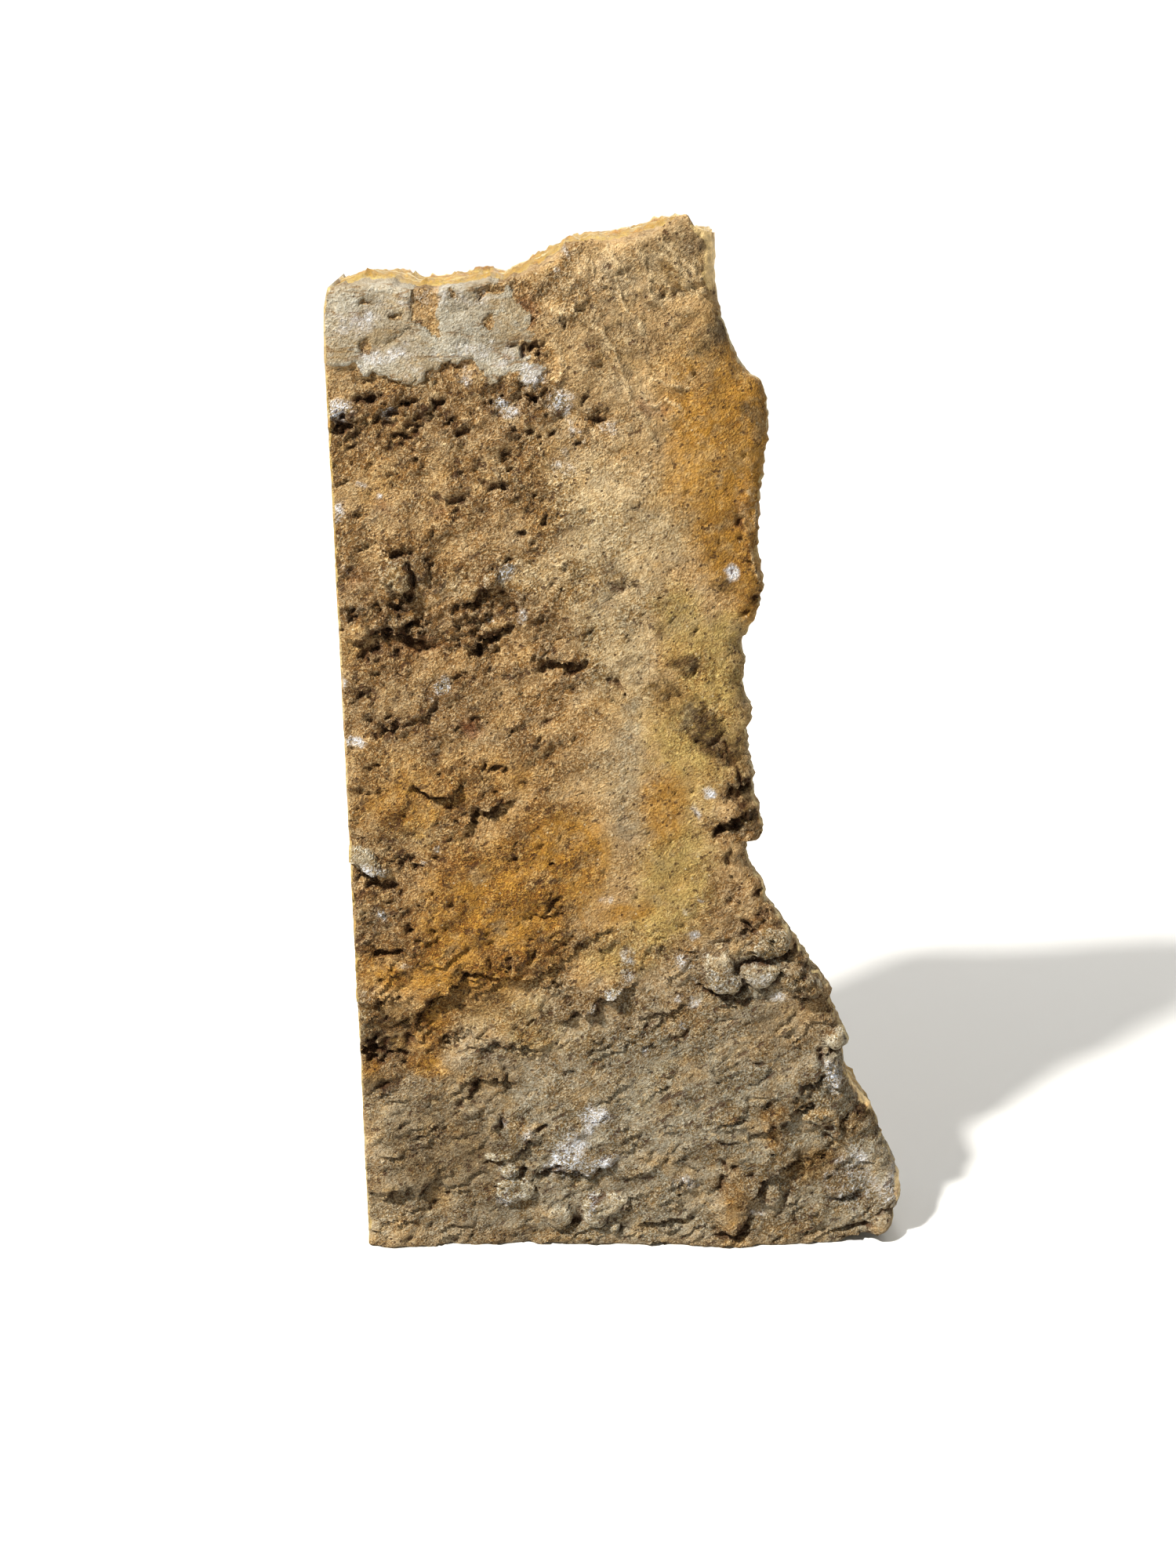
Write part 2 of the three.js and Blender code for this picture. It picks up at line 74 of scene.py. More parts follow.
RIGHT_EDGE = [
    (FOOT_LENGTH, 0), (119.5, 1.9), (123.8, 1.6), (126.6, 3.6), (128, 7.5),
    (129, 11.5), (128.3, 16.5), (126.8, 21.5), (124.3, 26), (122.9, 30),
    (120.8, 35), (116.5, 40.5), (113.8, 47), (113.5, 52), (114.2, 54.6),
    (112.2, 58.8), (110.2, 63.4), (109.3, 68), (105.2, 73), (101.4, 79.5),
    (98.2, 84.6), (94.6, 89.2), (93.1, 94), (90.2, 98), (89.2, 102.2),
    (89.4, 104.2), (92.3, 105), (92.4, 109.5), (90.6, 115), (90.1, 121),
    (88.6, 128.5), (89.4, 134.5), (87.4, 140.5), (87.6, 146.5), (87, 150),
    (89.7, 156), (91.3, 163), (90, 169.5), (89.9, 180), (90.8, 191),
    (91.2, 198.5), (89.8, 205.5), (85.3, 210), (82.3, 216), (80.3, 221.5),
    (79.3, 227), (79, 236.3),
]

TOP_EDGE = [
    (0.3, TOP_LEFT_HEIGHT), (8, 226.6), (19, 225.7), (30, 226.7), (36, 227.2),
    (41.5, 229), (46, 231), (50, 234.6), (55, 235.2), (60, 235), (66, 236.5),
    (69.5, 238.9), (72.7, 240.2), (75, 237.6), (79, 236.3),
]

# ---- Relief of the front ----

# Broad swells and falls: (x, z, half length, half width, turn in degrees, height).
BROAD_FORM = [
    (28, 212, 42, 20, 0, 0.9), (60, 168, 15, 40, 8, 1.3), (90, 186, 10, 46, 0, -2.2),
    (12, 54, 15, 13, 30, -1.6), (38, 92, 28, 14, 25, 1.3), (26, 152, 28, 6, 0, -1.1),
    (64, 30, 34, 18, 20, 1), (118, 26, 14, 26, -10, -3.1), (104, 58, 10, 12, -35, -1.3),
    (8, 2, 8, 5, 0, 1.4), (38, 2, 16, 5, 0, -0.6), (88, 2, 12, 5, 0, 1.2), (70, 231, 9, 2.6, -20, 0.9),
]

# Ledges traced from left to right, with the proud side above: (path, rise, fall, reach).
LEDGES = [
    ([(11, 57.5), (15, 62.8), (17.5, 66.8), (20.3, 66.1), (22.7, 70.9), (25, 73.2)], 1.8, 2.4, 6),
    ([(24, 73), (30.3, 72), (39.9, 71.3), (46.5, 75.1), (50.8, 79.7), (58, 84.4)], 0.7, 0.8, 4),
    ([(18.2, 53), (21.5, 55.5), (24.4, 58.7)], 0.7, 0.9, 4),
    ([(27, 53), (32, 54.2), (38, 54.3), (42, 53)], 0.9, 1, 4),
    ([(46, 60), (50, 61.8), (53, 62.8), (57, 66.3), (61, 69), (65, 70.5)], 1.3, 1.3, 4),
    ([(65, 60.5), (67, 61.4), (70, 61.6), (74, 64), (77, 65.5)], 0.9, 1, 3.5),
    ([(25, 40.5), (26.6, 43.6), (27.6, 45.6), (33.3, 45.4), (34, 48.2)], 1.1, 1.3, 4),
    ([(4.5, 12.7), (6, 14.8), (8, 16.2), (11, 16)], 1.3, 1.5, 4.5),
    ([(12, 12.8), (14, 15.4), (17.5, 19.2)], 1, 1.2, 4),
    ([(30, 31.4), (32.2, 33.5), (33, 35.5)], 1, 1.1, 3.5),
    ([(36.3, 23.8), (37.6, 26.6), (39, 28.8), (41, 28)], 1.2, 1.4, 3.5),
    ([(40.6, 19), (44, 20.7), (47, 21.8), (52, 21), (57, 22.4), (61, 24.4)], 1.6, 1.5, 5),
    ([(65.5, 5.5), (67, 6.8), (74, 7.7), (78.5, 8.9)], 0.9, 1, 4),
    ([(93.5, 13.5), (94.5, 16.5), (96, 19), (98.5, 21.3), (101.5, 21.2), (104, 25)], 1.6, 1.8, 4.5),
    ([(91, 29.5), (94, 31.5), (97, 31.8), (100, 33.8), (103, 36.3), (106.3, 37.5)], 1.2, 1.4, 4),
    ([(100, 40), (103, 40.8), (104.5, 43.3), (108.4, 44.3)], 1, 1.2, 4),
    ([(110, 11), (113, 12.3), (116.8, 12.3), (118.6, 14.8)], 0.9, 1.1, 4),
    ([(0.5, 151.5), (5, 152.6), (10, 153.6), (15, 152), (19.5, 150.5)], 0.8, 1.4, 4.5),
    ([(27, 149.5), (31, 152), (36.5, 154.3)], 1, 1.6, 4),
    ([(42.5, 147.2), (46, 147.4), (49, 147), (53, 146.6)], 0.8, 1.5, 3.5),
    ([(25.5, 158.8), (28.5, 160.6), (31, 162.4), (35.5, 163.4)], 0.9, 1, 4),
    ([(14.5, 118.2), (18, 116), (21.8, 115.4), (24.6, 119)], 0.8, 1.7, 4),
    ([(25, 108.6), (28, 111.7), (32, 113.4), (36.5, 115)], 0.9, 1.9, 4),
    ([(81, 109), (84.5, 110.6), (88, 110.8)], 0.8, 1.6, 4),
    ([(84, 117), (87, 118.8), (91, 119)], 0.7, 1.5, 4),
]

# Plates and nodules with their own outlines: (outline, height, width of the rounded rim, how pale the face
# is and how strong the painted highlight on its rim).
PLATES = [
    # round plates of the lower right
    ([(80, 77.5), (84.5, 77.9), (86, 76), (86.3, 74), (88.3, 71.5), (87.8, 69.4), (86, 68.3),
      (83.5, 68.2), (81.2, 69.2), (80.2, 70.6), (79.2, 73)], 1.6, 1.2, 0.55),
    ([(80.6, 72.4), (83, 73), (86, 73.1), (88.4, 71.6), (87.9, 69.3), (86, 68.2), (83.5, 68.1),
      (81.2, 69.2)], 0.7, 1.4, 0.45),
    ([(88.8, 74), (90.3, 75.3), (93.3, 75), (95.5, 74.8), (96.8, 73.8), (96, 71.5), (94, 69.8),
      (91.5, 69.2), (89.5, 70), (88.6, 72)], 1.4, 1.2, 0.5),
    ([(97, 74.5), (100, 75.5), (103, 73.5), (105.5, 71), (107.5, 68.3), (106.3, 66.6), (104, 65.8),
      (101.5, 67), (98.5, 69), (97, 71)], 1.5, 1.3, 0.4),
    ([(91.5, 83.5), (93, 84.8), (96, 83.8), (98.6, 82.6), (99.6, 80.5), (98.5, 78.4), (96.5, 77.3),
      (93.5, 76.3), (91, 77.2), (90.3, 79.5), (91.3, 81.5)], 1.2, 1.4, 0.6),
    ([(108.6, 56.5), (110.5, 57.8), (113, 57.6), (114.8, 55.8), (114.6, 53.8), (112.5, 53.4),
      (110, 52.8), (108.4, 54.3)], 1.9, 1.2, 1),
    ([(108.3, 50.8), (109.8, 51.8), (113.3, 50.5), (113.8, 47), (114.6, 44), (112.5, 42), (110, 43.5),
      (108.5, 45.5), (107.8, 48)], 0.8, 1, 0.4),
    ([(105.3, 33.8), (107.5, 35.8), (109.5, 36.6), (111.5, 35.8), (112.8, 33), (112.9, 29.8),
      (112.2, 28.2), (110.8, 29.5), (107.8, 31.5)], 1.2, 1, 0.5),
    # lobes of the lower left
    ([(30.8, 17.2), (32, 19.3), (36, 19.6), (39, 18.8), (40.3, 16.8), (39.8, 14.8), (38, 13.6),
      (35.5, 12.9), (32.8, 12.9), (31.6, 14.2)], 1.4, 1.1, 0.9),
    ([(32, 22.4), (34, 23.3), (36.2, 22.2), (36.4, 20.3), (34.8, 19.3), (32.8, 19.8)], 1.1, 1, 0.9),
    ([(43.2, 9.5), (45, 11), (48, 11.2), (49.8, 9.6), (49.3, 7.4), (47.8, 5.6), (46, 5), (44.2, 6),
      (43, 8)], 1.4, 1.1, 0.5),
    ([(51.6, 9.5), (51.2, 11.6), (53, 14), (55.2, 16), (58.5, 15.3), (61.5, 14.2), (63, 12.5),
      (61.3, 10.4), (58.9, 9.3), (58, 7), (56.5, 6), (53.5, 5.9), (51.8, 7.6)], 1.5, 1.1, 0.75),
    ([(58.3, 5.6), (59.4, 6.6), (60.8, 5.6), (60.6, 3.9), (59.2, 3.3), (58.2, 4.2)], 1.2, 0.9, 0.8),
    ([(0.5, 19.5), (3.5, 20.4), (6.5, 19.4), (9.5, 17.4), (10.2, 16.3), (7, 16.4), (4.8, 15.2),
      (0.5, 14.6)], 1, 1.2, 0.3),
    ([(9.8, 25), (12, 27.5), (15, 26), (17, 22), (17, 19), (14.5, 16.8), (12.8, 13.6), (11.2, 15.6),
      (10, 18)], 0.7, 1.2, 0),
    ([(21, 9.6), (24, 9.4), (26, 8), (25.2, 5.6), (22.6, 5), (21.2, 6.8)], 0.7, 0.9, 0.15),
    ([(28.7, 25.8), (31, 26.2), (34.6, 25.6), (35, 24.9), (32, 23.9), (29, 24.2)], 0.7, 0.8, 0.7),
    # lumps of the foot
    ([(84.2, 21.5), (86.2, 22.4), (88.5, 20.8), (91, 19), (93.5, 17.2), (93, 14.5), (91.5, 12),
      (91.4, 8.5), (90, 5.5), (87.5, 3.6), (85, 5.2), (83.8, 8), (82.6, 12), (85.2, 15.2),
      (85.8, 18.5)], 1.3, 1.4, 0),
    ([(95.6, 17), (97.5, 18), (98.8, 16.2), (99.6, 14), (98.2, 11.4), (96.2, 10.9),
      (95, 12.5)], 1.2, 1.2, 0),
    ([(120.2, 6.4), (123, 7.1), (126, 7), (128, 6.3), (127.2, 4), (125.3, 2.2), (122.5, 2.2),
      (120.3, 4)], 1.6, 1.2, 0),
    ([(105.5, 9.6), (108, 11.5), (110.5, 11.2), (114, 12), (117, 12), (120.5, 9.5), (121.5, 7),
      (119, 5.2), (114.5, 4.4), (109.5, 4.8), (106, 6)], 0.8, 1.2, 0.2),
    ([(108, 18.6), (110, 18.9), (113, 17.6), (116, 17), (118.3, 15.2), (116.5, 12.8), (113.5, 12.6),
      (111, 13.2), (109.2, 15.6)], 0.35, 1.1, 0.2),
    # nodules of the left side
    ([(8.2, 165.5), (9.5, 167.5), (10.6, 169.9), (13, 170.1), (14.6, 168.8), (15.4, 166.2),
      (15.3, 164.2), (13.5, 162.6), (11.8, 162.6), (10.2, 164.3)], 1.9, 1.3, 0.3),
    ([(15.9, 169.2), (18, 169.9), (19.1, 168), (18.2, 165.4), (16.7, 165.1), (16, 167)], 1.1, 1, 0.3),
    ([(10, 156.2), (12, 157.4), (15.5, 157.6), (16.4, 156.3), (13.3, 155.2), (11.2, 154),
      (9.8, 154.4)], 1.3, 0.9, 0.35),
    ([(30.2, 166.2), (31.5, 167.6), (33.4, 167), (33.7, 164.8), (32, 163.5),
      (30.4, 164.2)], 1.2, 0.9, 0.35),
    ([(-2, 104), (1.5, 105), (4, 103.6), (6.2, 101), (6.3, 98.2), (4.6, 97.4), (2.2, 98.6), (0, 100.3),
      (-2, 101)], 2, 1.3, 0.85),
    ([(6, 99.6), (7.6, 100), (8.6, 98.4), (7.4, 96.7), (5.9, 97.3)], 1.3, 0.9, 0.5),
    ([(-2, 69.4), (2, 69.2), (4.4, 67.2), (4, 65.4), (1.5, 64.9), (-2, 65.6)], 1.3, 1.1, 0.4),
    ([(51.3, 65.3), (53.5, 66.2), (54.8, 64.8), (53.8, 63.4), (52, 63.3)], 0.9, 0.9, 0.5),
    ([(56.4, 68.3), (58.6, 69.8), (60.3, 69.3), (60.1, 67.9), (58.4, 67), (56.9, 66.9)], 0.9, 0.9, 0.8),
    ([(21.2, 117), (22.5, 119.3), (24.5, 119.4), (24.4, 116.9), (22.8, 116.2)], 0.9, 0.8, 0),
]

# Pale fragments and grains stuck in the rind.
FRAGMENTS = [
    [(71.5, 16), (72.5, 19.5), (73.4, 19.3), (72.7, 16.2)],
    [(75.5, 19.8), (76.5, 20), (77, 18), (79, 17.2), (78, 16.2), (76, 15.8)],
    [(73, 14.8), (74.5, 15.3), (75.2, 13.6), (74, 12.7), (72.9, 13.2)],
    [(80, 51.2), (80.8, 51), (82.2, 48.6), (81.8, 47.4), (81, 47.6)],
    [(81, 8.9), (82, 8.8), (83.3, 6.4), (82.8, 5.9)], [(83, 14.1), (84.8, 15.2), (84.9, 14.4)],
    [(88, 35), (89.3, 36), (90.1, 35.6), (89, 34.5)],
    [(44, 45.6), (45.2, 46.2), (46, 45), (45.4, 43.7), (44.2, 44.4)],
    [(85.2, 164.6), (86.3, 165.1), (86.3, 164.7), (85.4, 164.3)],
    [(87.4, 165.9), (88, 166), (88.2, 165.3), (87.7, 165.1)],
    [(95, 24.6), (96.4, 24.8), (96.6, 24.3), (95.4, 24.1)],
]

# Crevices, cracks and pits: (path, half width, depth). A path of one point is a round pit.
CREVICES = [
    # lower left
    ([(40.8, 28.3), (39, 28.6), (37.9, 26.9), (37.2, 25.2), (36.4, 24)], 0.55, 2),
    ([(43, 33.8), (41.3, 32.7), (40, 31.2)], 0.45, 1.6),
    ([(32.6, 35.1), (32.3, 33.5), (30.4, 31.8)], 0.55, 1.8),
    ([(27.5, 45.7), (26.6, 43.9), (25.5, 41.3)], 0.6, 1.9),
    ([(27.5, 45.4), (30.5, 45.2), (33.2, 45.3), (33.7, 47), (33.4, 48.5)], 0.3, 1.1),
    ([(47.5, 45.7), (48.5, 46.8), (50.3, 47)], 0.35, 1),
    ([(40.8, 19), (42.7, 19.6), (44, 21.2), (46, 21.9), (49, 21.4)], 0.65, 2),
    ([(51.3, 21.4), (53.2, 20.8), (56.5, 22.4), (60.7, 24.3)], 0.35, 1.4),
    ([(53, 12.2), (55.5, 14.6), (57.5, 15.1)], 0.5, 1.6),
    ([(62.9, 12.6), (60.8, 10.5), (58.5, 9.3), (58, 7.1), (56.7, 6.2), (53.7, 5.5)], 0.4, 1.6),
    ([(60, 10.3), (61.5, 11.3), (62.8, 12.8)], 0.7, 1.6),
    ([(47.2, 4.9), (49.8, 6.2), (51, 7.8)], 0.5, 1.6),
    ([(10.2, 16.1), (7.3, 16.1), (5.6, 14.6), (4.9, 12.9)], 0.6, 1.7),
    ([(17.2, 19), (15, 17), (13.2, 14.8), (12.2, 13)], 0.55, 1.6),
    ([(18, 11.7), (15.6, 11.4), (13.6, 9.7)], 0.4, 1.2), ([(15.2, 5.2), (14.5, 4.2)], 0.35, 1),
    ([(10.9, 3.9), (9.5, 1.4)], 0.4, 1.1), ([(21.5, 5.4), (23, 5.1), (25, 5.4)], 0.35, 1.1),
    ([(21.7, 2.3), (20.3, 0.7)], 0.35, 0.9), ([(28, 22.8), (30.8, 23.2), (32.5, 24.1)], 0.4, 1.3),
    ([(11.3, 24.8), (13, 26.6), (15, 27.8)], 0.25, 0.7),
    ([(20.5, 28.8), (23.5, 29.2), (26.5, 30)], 0.25, 0.8), ([(18.9, 14.3)], 0.5, 1.5),
    ([(37.2, 33.6)], 0.8, 1.5), ([(37.3, 20.2), (37.8, 22)], 0.6, 1.8), ([(20.3, 6)], 0.4, 1),
    ([(2, 41.6), (5, 42.6), (7, 44)], 0.7, 1.2), ([(20.8, 36.2), (22.8, 38), (24, 38.2)], 0.8, 1.1),
    ([(15.6, 30), (17.5, 31.6), (19.4, 32)], 0.5, 0.9),
    # lower right
    ([(65.5, 4), (66.8, 5.6), (70, 5.9), (74, 7.2), (76, 6.5), (78.4, 7.8)], 0.35, 1.2),
    ([(60, 3.9), (61.7, 5)], 0.5, 1.4), ([(85.3, 24), (85.6, 21.5), (85.5, 18.8), (85.2, 16)], 0.4, 1.5),
    ([(86.4, 21), (87.8, 21.6)], 0.5, 1.4),
    ([(83.3, 5.2), (85.8, 3.6), (88.5, 2.4), (90.6, 4.5), (91.6, 7.5)], 0.7, 1.9),
    ([(94.2, 13.2), (94.6, 16), (95, 18), (96.5, 19.6)], 0.5, 1.7),
    ([(97, 20.2), (99.5, 21.2), (101.5, 22)], 0.7, 2.2), ([(101, 21.2), (103, 22.2)], 1.1, 2.4),
    ([(102.2, 23.5), (103.6, 25.2)], 0.45, 1.4), ([(101.4, 15.2), (101, 12.4), (99.8, 12)], 0.4, 1.3),
    ([(98, 8), (99.5, 9.6)], 0.4, 1.2),
    ([(91, 29.4), (92.6, 30), (94.3, 31.6), (96.5, 32.4), (98.2, 32.2), (100, 33.8)], 0.45, 1.6),
    ([(100.7, 35), (102, 36.4), (104.3, 37.9), (106, 38.6)], 0.4, 1.4),
    ([(103.5, 35.6), (105.9, 36.2), (106.2, 38.6)], 0.35, 1.2),
    ([(100, 40), (102.8, 40.5), (104.4, 43.8), (105, 44)], 0.45, 1.5), ([(104.4, 42)], 1.2, 1.5),
    ([(106.7, 42), (108.4, 44.3)], 0.45, 1.4), ([(87.6, 34), (90.3, 34.6)], 0.35, 1),
    ([(83.3, 28.8), (85, 28.3), (87.8, 28.6)], 0.35, 1.2), ([(94.8, 38.2), (95.9, 39)], 0.5, 1.3),
    ([(112.6, 32.5), (112.4, 30), (111.6, 28), (110.5, 26.2)], 0.4, 1.4),
    ([(109.6, 30.6), (109.8, 33.6)], 1.3, 1.4), ([(115.6, 35.2), (114.6, 33.8), (113, 32.2)], 0.35, 1.2),
    ([(110, 11), (112.4, 12.4), (114.3, 11.9), (116.8, 12), (118.4, 14.5)], 0.35, 1.3),
    ([(106.3, 9), (107.4, 10.6)], 0.35, 1),
    ([(114.8, 4.1), (117, 3.9), (119, 4.9), (121.8, 5.4)], 0.55, 1.9),
    ([(119, 2.9), (120.6, 1.9), (123.8, 1.7)], 0.4, 1.2),
    ([(123, 7.9), (125.5, 8.3), (128, 8)], 0.5, 1.6),
    ([(116, 37.5), (118.5, 35.2), (120.5, 33.6)], 1.2, 0.9), ([(121.5, 32.8), (122.8, 30.2)], 0.9, 1.3),
    # round plates and the band above them
    ([(108.2, 48.4), (107, 50.8), (107.9, 53)], 0.45, 1.7),
    ([(109.6, 51.6), (111.4, 52.4), (113.6, 51.6)], 0.8, 2.4),
    ([(77, 69.4), (79.6, 69.6), (81, 68.4), (83.5, 67.4), (86.5, 67.3), (88.3, 68.5),
      (89, 70.3)], 0.65, 2.2),
    ([(86.7, 74.3), (88.5, 75.1), (90.4, 75.4), (92, 74.8), (94, 75.2), (95.7, 75.9)], 0.55, 1.9),
    ([(97.8, 73.7), (96.3, 71.2), (95.2, 69.8), (93, 68.4)], 0.4, 1.5),
    ([(102, 66.9), (103.8, 65.5), (106, 66.3), (106.3, 67.5)], 0.45, 1.6),
    ([(97, 76), (98.6, 77.6), (100.6, 79)], 0.8, 2), ([(94.4, 75.2), (95.8, 76)], 0.6, 1.8),
    ([(90.2, 91.2), (91.5, 91.6), (92.2, 93.6)], 0.6, 1.9),
    ([(91.2, 86.6), (93, 88.2), (94.4, 86.2)], 0.5, 1.2),
    ([(88, 85.2), (90, 84.2), (91.3, 83)], 0.5, 1.6), ([(82.4, 79.5), (84.5, 80), (86, 81)], 0.4, 1.2),
    ([(66, 61.2), (68.5, 61.6), (71.8, 63.2), (74.8, 64.7)], 0.4, 1.4),
    ([(65.3, 56), (66, 58.4), (67.5, 60)], 0.35, 1.2),
    ([(73, 56), (75.4, 56.1), (75.6, 58.8)], 0.35, 1.3), ([(83.8, 60), (86, 60.3), (86.8, 61.4)], 0.3, 1),
    ([(88.6, 64.5), (91, 65.6), (95, 66.2)], 0.3, 1), ([(96, 57), (99.5, 59), (101, 62)], 0.3, 1),
    ([(90.5, 49), (93, 48.8), (95.2, 49.6)], 0.5, 0.9), ([(48.5, 60), (49.4, 61.5), (50, 63)], 0.4, 1.4),
    ([(51.7, 63), (53.8, 62.7), (55.6, 62.4)], 0.5, 1.6),
    ([(54.8, 65), (56.3, 66.3), (59, 66.6)], 0.45, 1.5),
    # under the long ledge
    ([(12.7, 60), (15, 62.8), (16.2, 64.9), (17.8, 66.6), (20.3, 66)], 0.6, 1.8),
    ([(22, 68), (22.8, 70.8), (24.5, 72.8), (26.6, 72.4), (30, 71.7)], 0.6, 1.8),
    ([(25, 55.1), (32, 55.2), (40, 55)], 0.22, 0.7),
    ([(29, 53.4), (31, 54.2), (34, 54), (37.8, 54.1)], 0.45, 1.4),
    ([(18.2, 53), (20, 55.8), (22.2, 57.3), (24.4, 58.7)], 0.35, 1.1),
    ([(5.2, 64.6), (6.8, 66.8)], 0.9, 1.3), ([(9.2, 66.4), (10.6, 68.2)], 0.8, 1.2),
    ([(0.4, 50.5), (3.2, 52.3), (5, 53)], 2, 2.8), ([(5, 51.4), (8.5, 51.6), (11, 51)], 1, 1.9),
    ([(10.2, 54.6), (12.4, 55.3)], 0.8, 1.9),
    # ochre band
    ([(4.6, 76.3), (5.4, 78.2), (7.5, 77.7), (11.3, 78)], 0.6, 2.2),
    ([(1.2, 95.4), (3, 96.6), (5.5, 94.8), (9.5, 94.2)], 0.8, 2.2), ([(5, 92.6), (7.5, 93.6)], 0.6, 1.6),
    ([(43, 88), (44, 90), (45.5, 91.3), (46.8, 91.4)], 0.4, 1.6), ([(33.5, 88), (34.3, 88.3)], 0.4, 1.3),
    ([(10.4, 87.2), (11.2, 88.4)], 0.4, 1.1), ([(11.7, 82.6), (12.6, 84.6), (13.6, 85.5)], 0.7, 1.7),
    ([(34.8, 75), (35.3, 77.2)], 0.5, 1.8), ([(24.6, 78.4), (26.2, 79.2)], 0.45, 1.2),
    ([(39, 86.5), (41, 87.6), (44, 86.9), (49.3, 89.3)], 0.35, 1.1), ([(18, 83)], 0.5, 1.2),
    ([(21.2, 89.2), (22.8, 91)], 0.5, 1), ([(38.6, 81), (41, 82)], 0.7, 0.9),
    # recesses of the middle left
    ([(5.5, 153.8), (8, 152.2), (10, 153.6), (14, 151.6), (15, 150.3), (19.4, 149.6)], 0.7, 1.9),
    ([(3.3, 150), (6, 148), (9, 149.6)], 1.2, 1.6),
    ([(28, 148.9), (29.8, 150), (31.8, 151.8), (34, 153.2), (36, 154)], 1.1, 2.3),
    ([(12.6, 154.6), (15, 155.3), (16.8, 156.4)], 0.8, 1.9), ([(11, 159), (13.7, 158.9)], 0.6, 1.7),
    ([(14.8, 168.6), (15.6, 166.3), (15.8, 164), (14.6, 161.8), (12.6, 162.2)], 0.6, 2),
    ([(12, 170.3), (13.5, 171.2), (15.2, 171.3)], 0.6, 1.9),
    ([(25.6, 158.2), (28, 160), (30.2, 161.5), (31.2, 163), (33, 162.8), (35, 163.2)], 0.6, 1.6),
    ([(42.7, 145.2), (45, 145.4), (47.6, 146.6)], 0.6, 1.6),
    ([(48.6, 143.8), (49.7, 145.5), (52.4, 146.6)], 0.8, 1.9), ([(57.6, 142.8), (60, 142.6)], 0.35, 1),
    ([(60.5, 139.6), (61.3, 141)], 0.35, 1.3), ([(38.4, 175.2), (39.8, 175.4)], 0.5, 1.6),
    ([(43.9, 177.2), (44.5, 179.8)], 0.35, 1.3),
    ([(20, 183.8), (23, 182.8), (25.5, 181.5), (28.6, 184)], 0.45, 1.3),
    ([(25, 178.8), (25.3, 181)], 0.7, 1.5), ([(30.4, 185.4), (33, 185.2), (36.3, 184.6)], 0.5, 1.4),
    ([(57, 164.6), (60.5, 163.4), (63, 163.9), (65.5, 162.8)], 0.8, 0.9),
    # hollows of the left side
    ([(25.3, 106), (27.4, 108.6), (27.3, 110.7), (30.3, 111.3), (33.2, 112.2), (35.8, 114.4)], 0.9, 1.8),
    ([(15, 117.4), (17.6, 115.8), (20.6, 115.1), (22.2, 114.8)], 0.6, 1.7),
    ([(23.6, 116.6), (24.6, 118.9)], 0.6, 1.3), ([(21, 113.2), (23, 112.6), (24.4, 111.9)], 0.3, 1),
    ([(30.7, 122.7)], 0.8, 1.7), ([(33.2, 122.2)], 0.9, 1.7), ([(31.8, 120.7)], 0.7, 1.4),
    ([(30.5, 123.8)], 0.6, 1.3), ([(34.6, 100.3), (36.3, 101.1), (37.4, 101.4)], 0.55, 1.4),
    ([(41.8, 103.8), (42.9, 104.3)], 0.4, 1.3), ([(45.1, 100)], 0.5, 1.3),
    ([(10.4, 99.8), (13, 100.5), (16, 99.9)], 0.7, 2),
    ([(0.6, 139.4), (2.6, 139.9), (3.8, 139)], 0.7, 1.7),
    ([(7.5, 130.4), (9.5, 132), (10.8, 134.4)], 1.1, 2.2), ([(11.8, 131.9), (16, 133)], 0.5, 1.3),
    ([(15, 133.2), (17.8, 134.4), (20, 137)], 0.5, 1.1), ([(6.5, 122.9), (8.2, 123.6)], 0.4, 1.1),
    ([(40.7, 127.2), (42.2, 127.9)], 0.4, 1.1), ([(42.8, 131.8), (44.2, 132.6), (45, 134.6)], 0.5, 1.2),
    ([(0.5, 117.2), (4, 116.2), (9, 116.8)], 0.4, 0.8),
    # below the smooth skin
    ([(39.2, 213.6), (42.6, 214)], 1, 2.4), ([(0.2, 197.4), (2, 198), (3, 196.8)], 1.3, 2.3),
    ([(6.5, 208), (8.5, 208.2)], 0.7, 1.8), ([(3.8, 203.2), (6.5, 204.1), (9.8, 204)], 0.45, 1.4),
    ([(10.2, 199.6), (14.5, 200.2)], 0.8, 1.7), ([(16, 202.6)], 0.7, 1.4),
    ([(20.4, 202.2), (23.5, 203)], 0.8, 1.7), ([(13, 194.6), (16, 197), (19, 199.4)], 1.1, 1.4),
    ([(35, 191.2), (36.8, 193.2)], 0.8, 1.6), ([(41.6, 203), (42.8, 204.3)], 0.7, 1.6),
    ([(40, 195.4), (42, 197.2)], 0.6, 1.4), ([(44.6, 196), (47, 196.8)], 0.5, 1.4),
    ([(54, 199.2), (56.5, 199.8)], 0.7, 1.6), ([(52, 202.5), (53.6, 204.4)], 0.4, 1.1),
    ([(2, 192.6), (4.9, 194.3)], 0.5, 1.3), ([(70, 224.6), (71.5, 225.2), (73.8, 225.7)], 0.5, 0.7),
    # hairline cracks of the skin
    ([(10, 216), (13, 216), (15.5, 217), (17.5, 216.8)], 0.22, 0.6),
    ([(25, 221.4), (28, 221.7), (31, 220.7)], 0.2, 0.5), ([(26, 218), (28.5, 217.8)], 0.2, 0.5),
    ([(27, 215), (30, 215.3), (33.5, 215.2)], 0.2, 0.5),
    ([(35, 214.7), (37, 214.5), (39.4, 214)], 0.25, 0.8),
    # root-like cracks of the right side
    ([(84.2, 125.4), (85.2, 122.6), (86.4, 121.2), (86, 118.8), (86.8, 116.6), (86.2, 114),
      (87.4, 111.6)], 0.32, 1.3),
    ([(86, 118.8), (88, 119.6), (90, 119.2)], 0.3, 1.2),
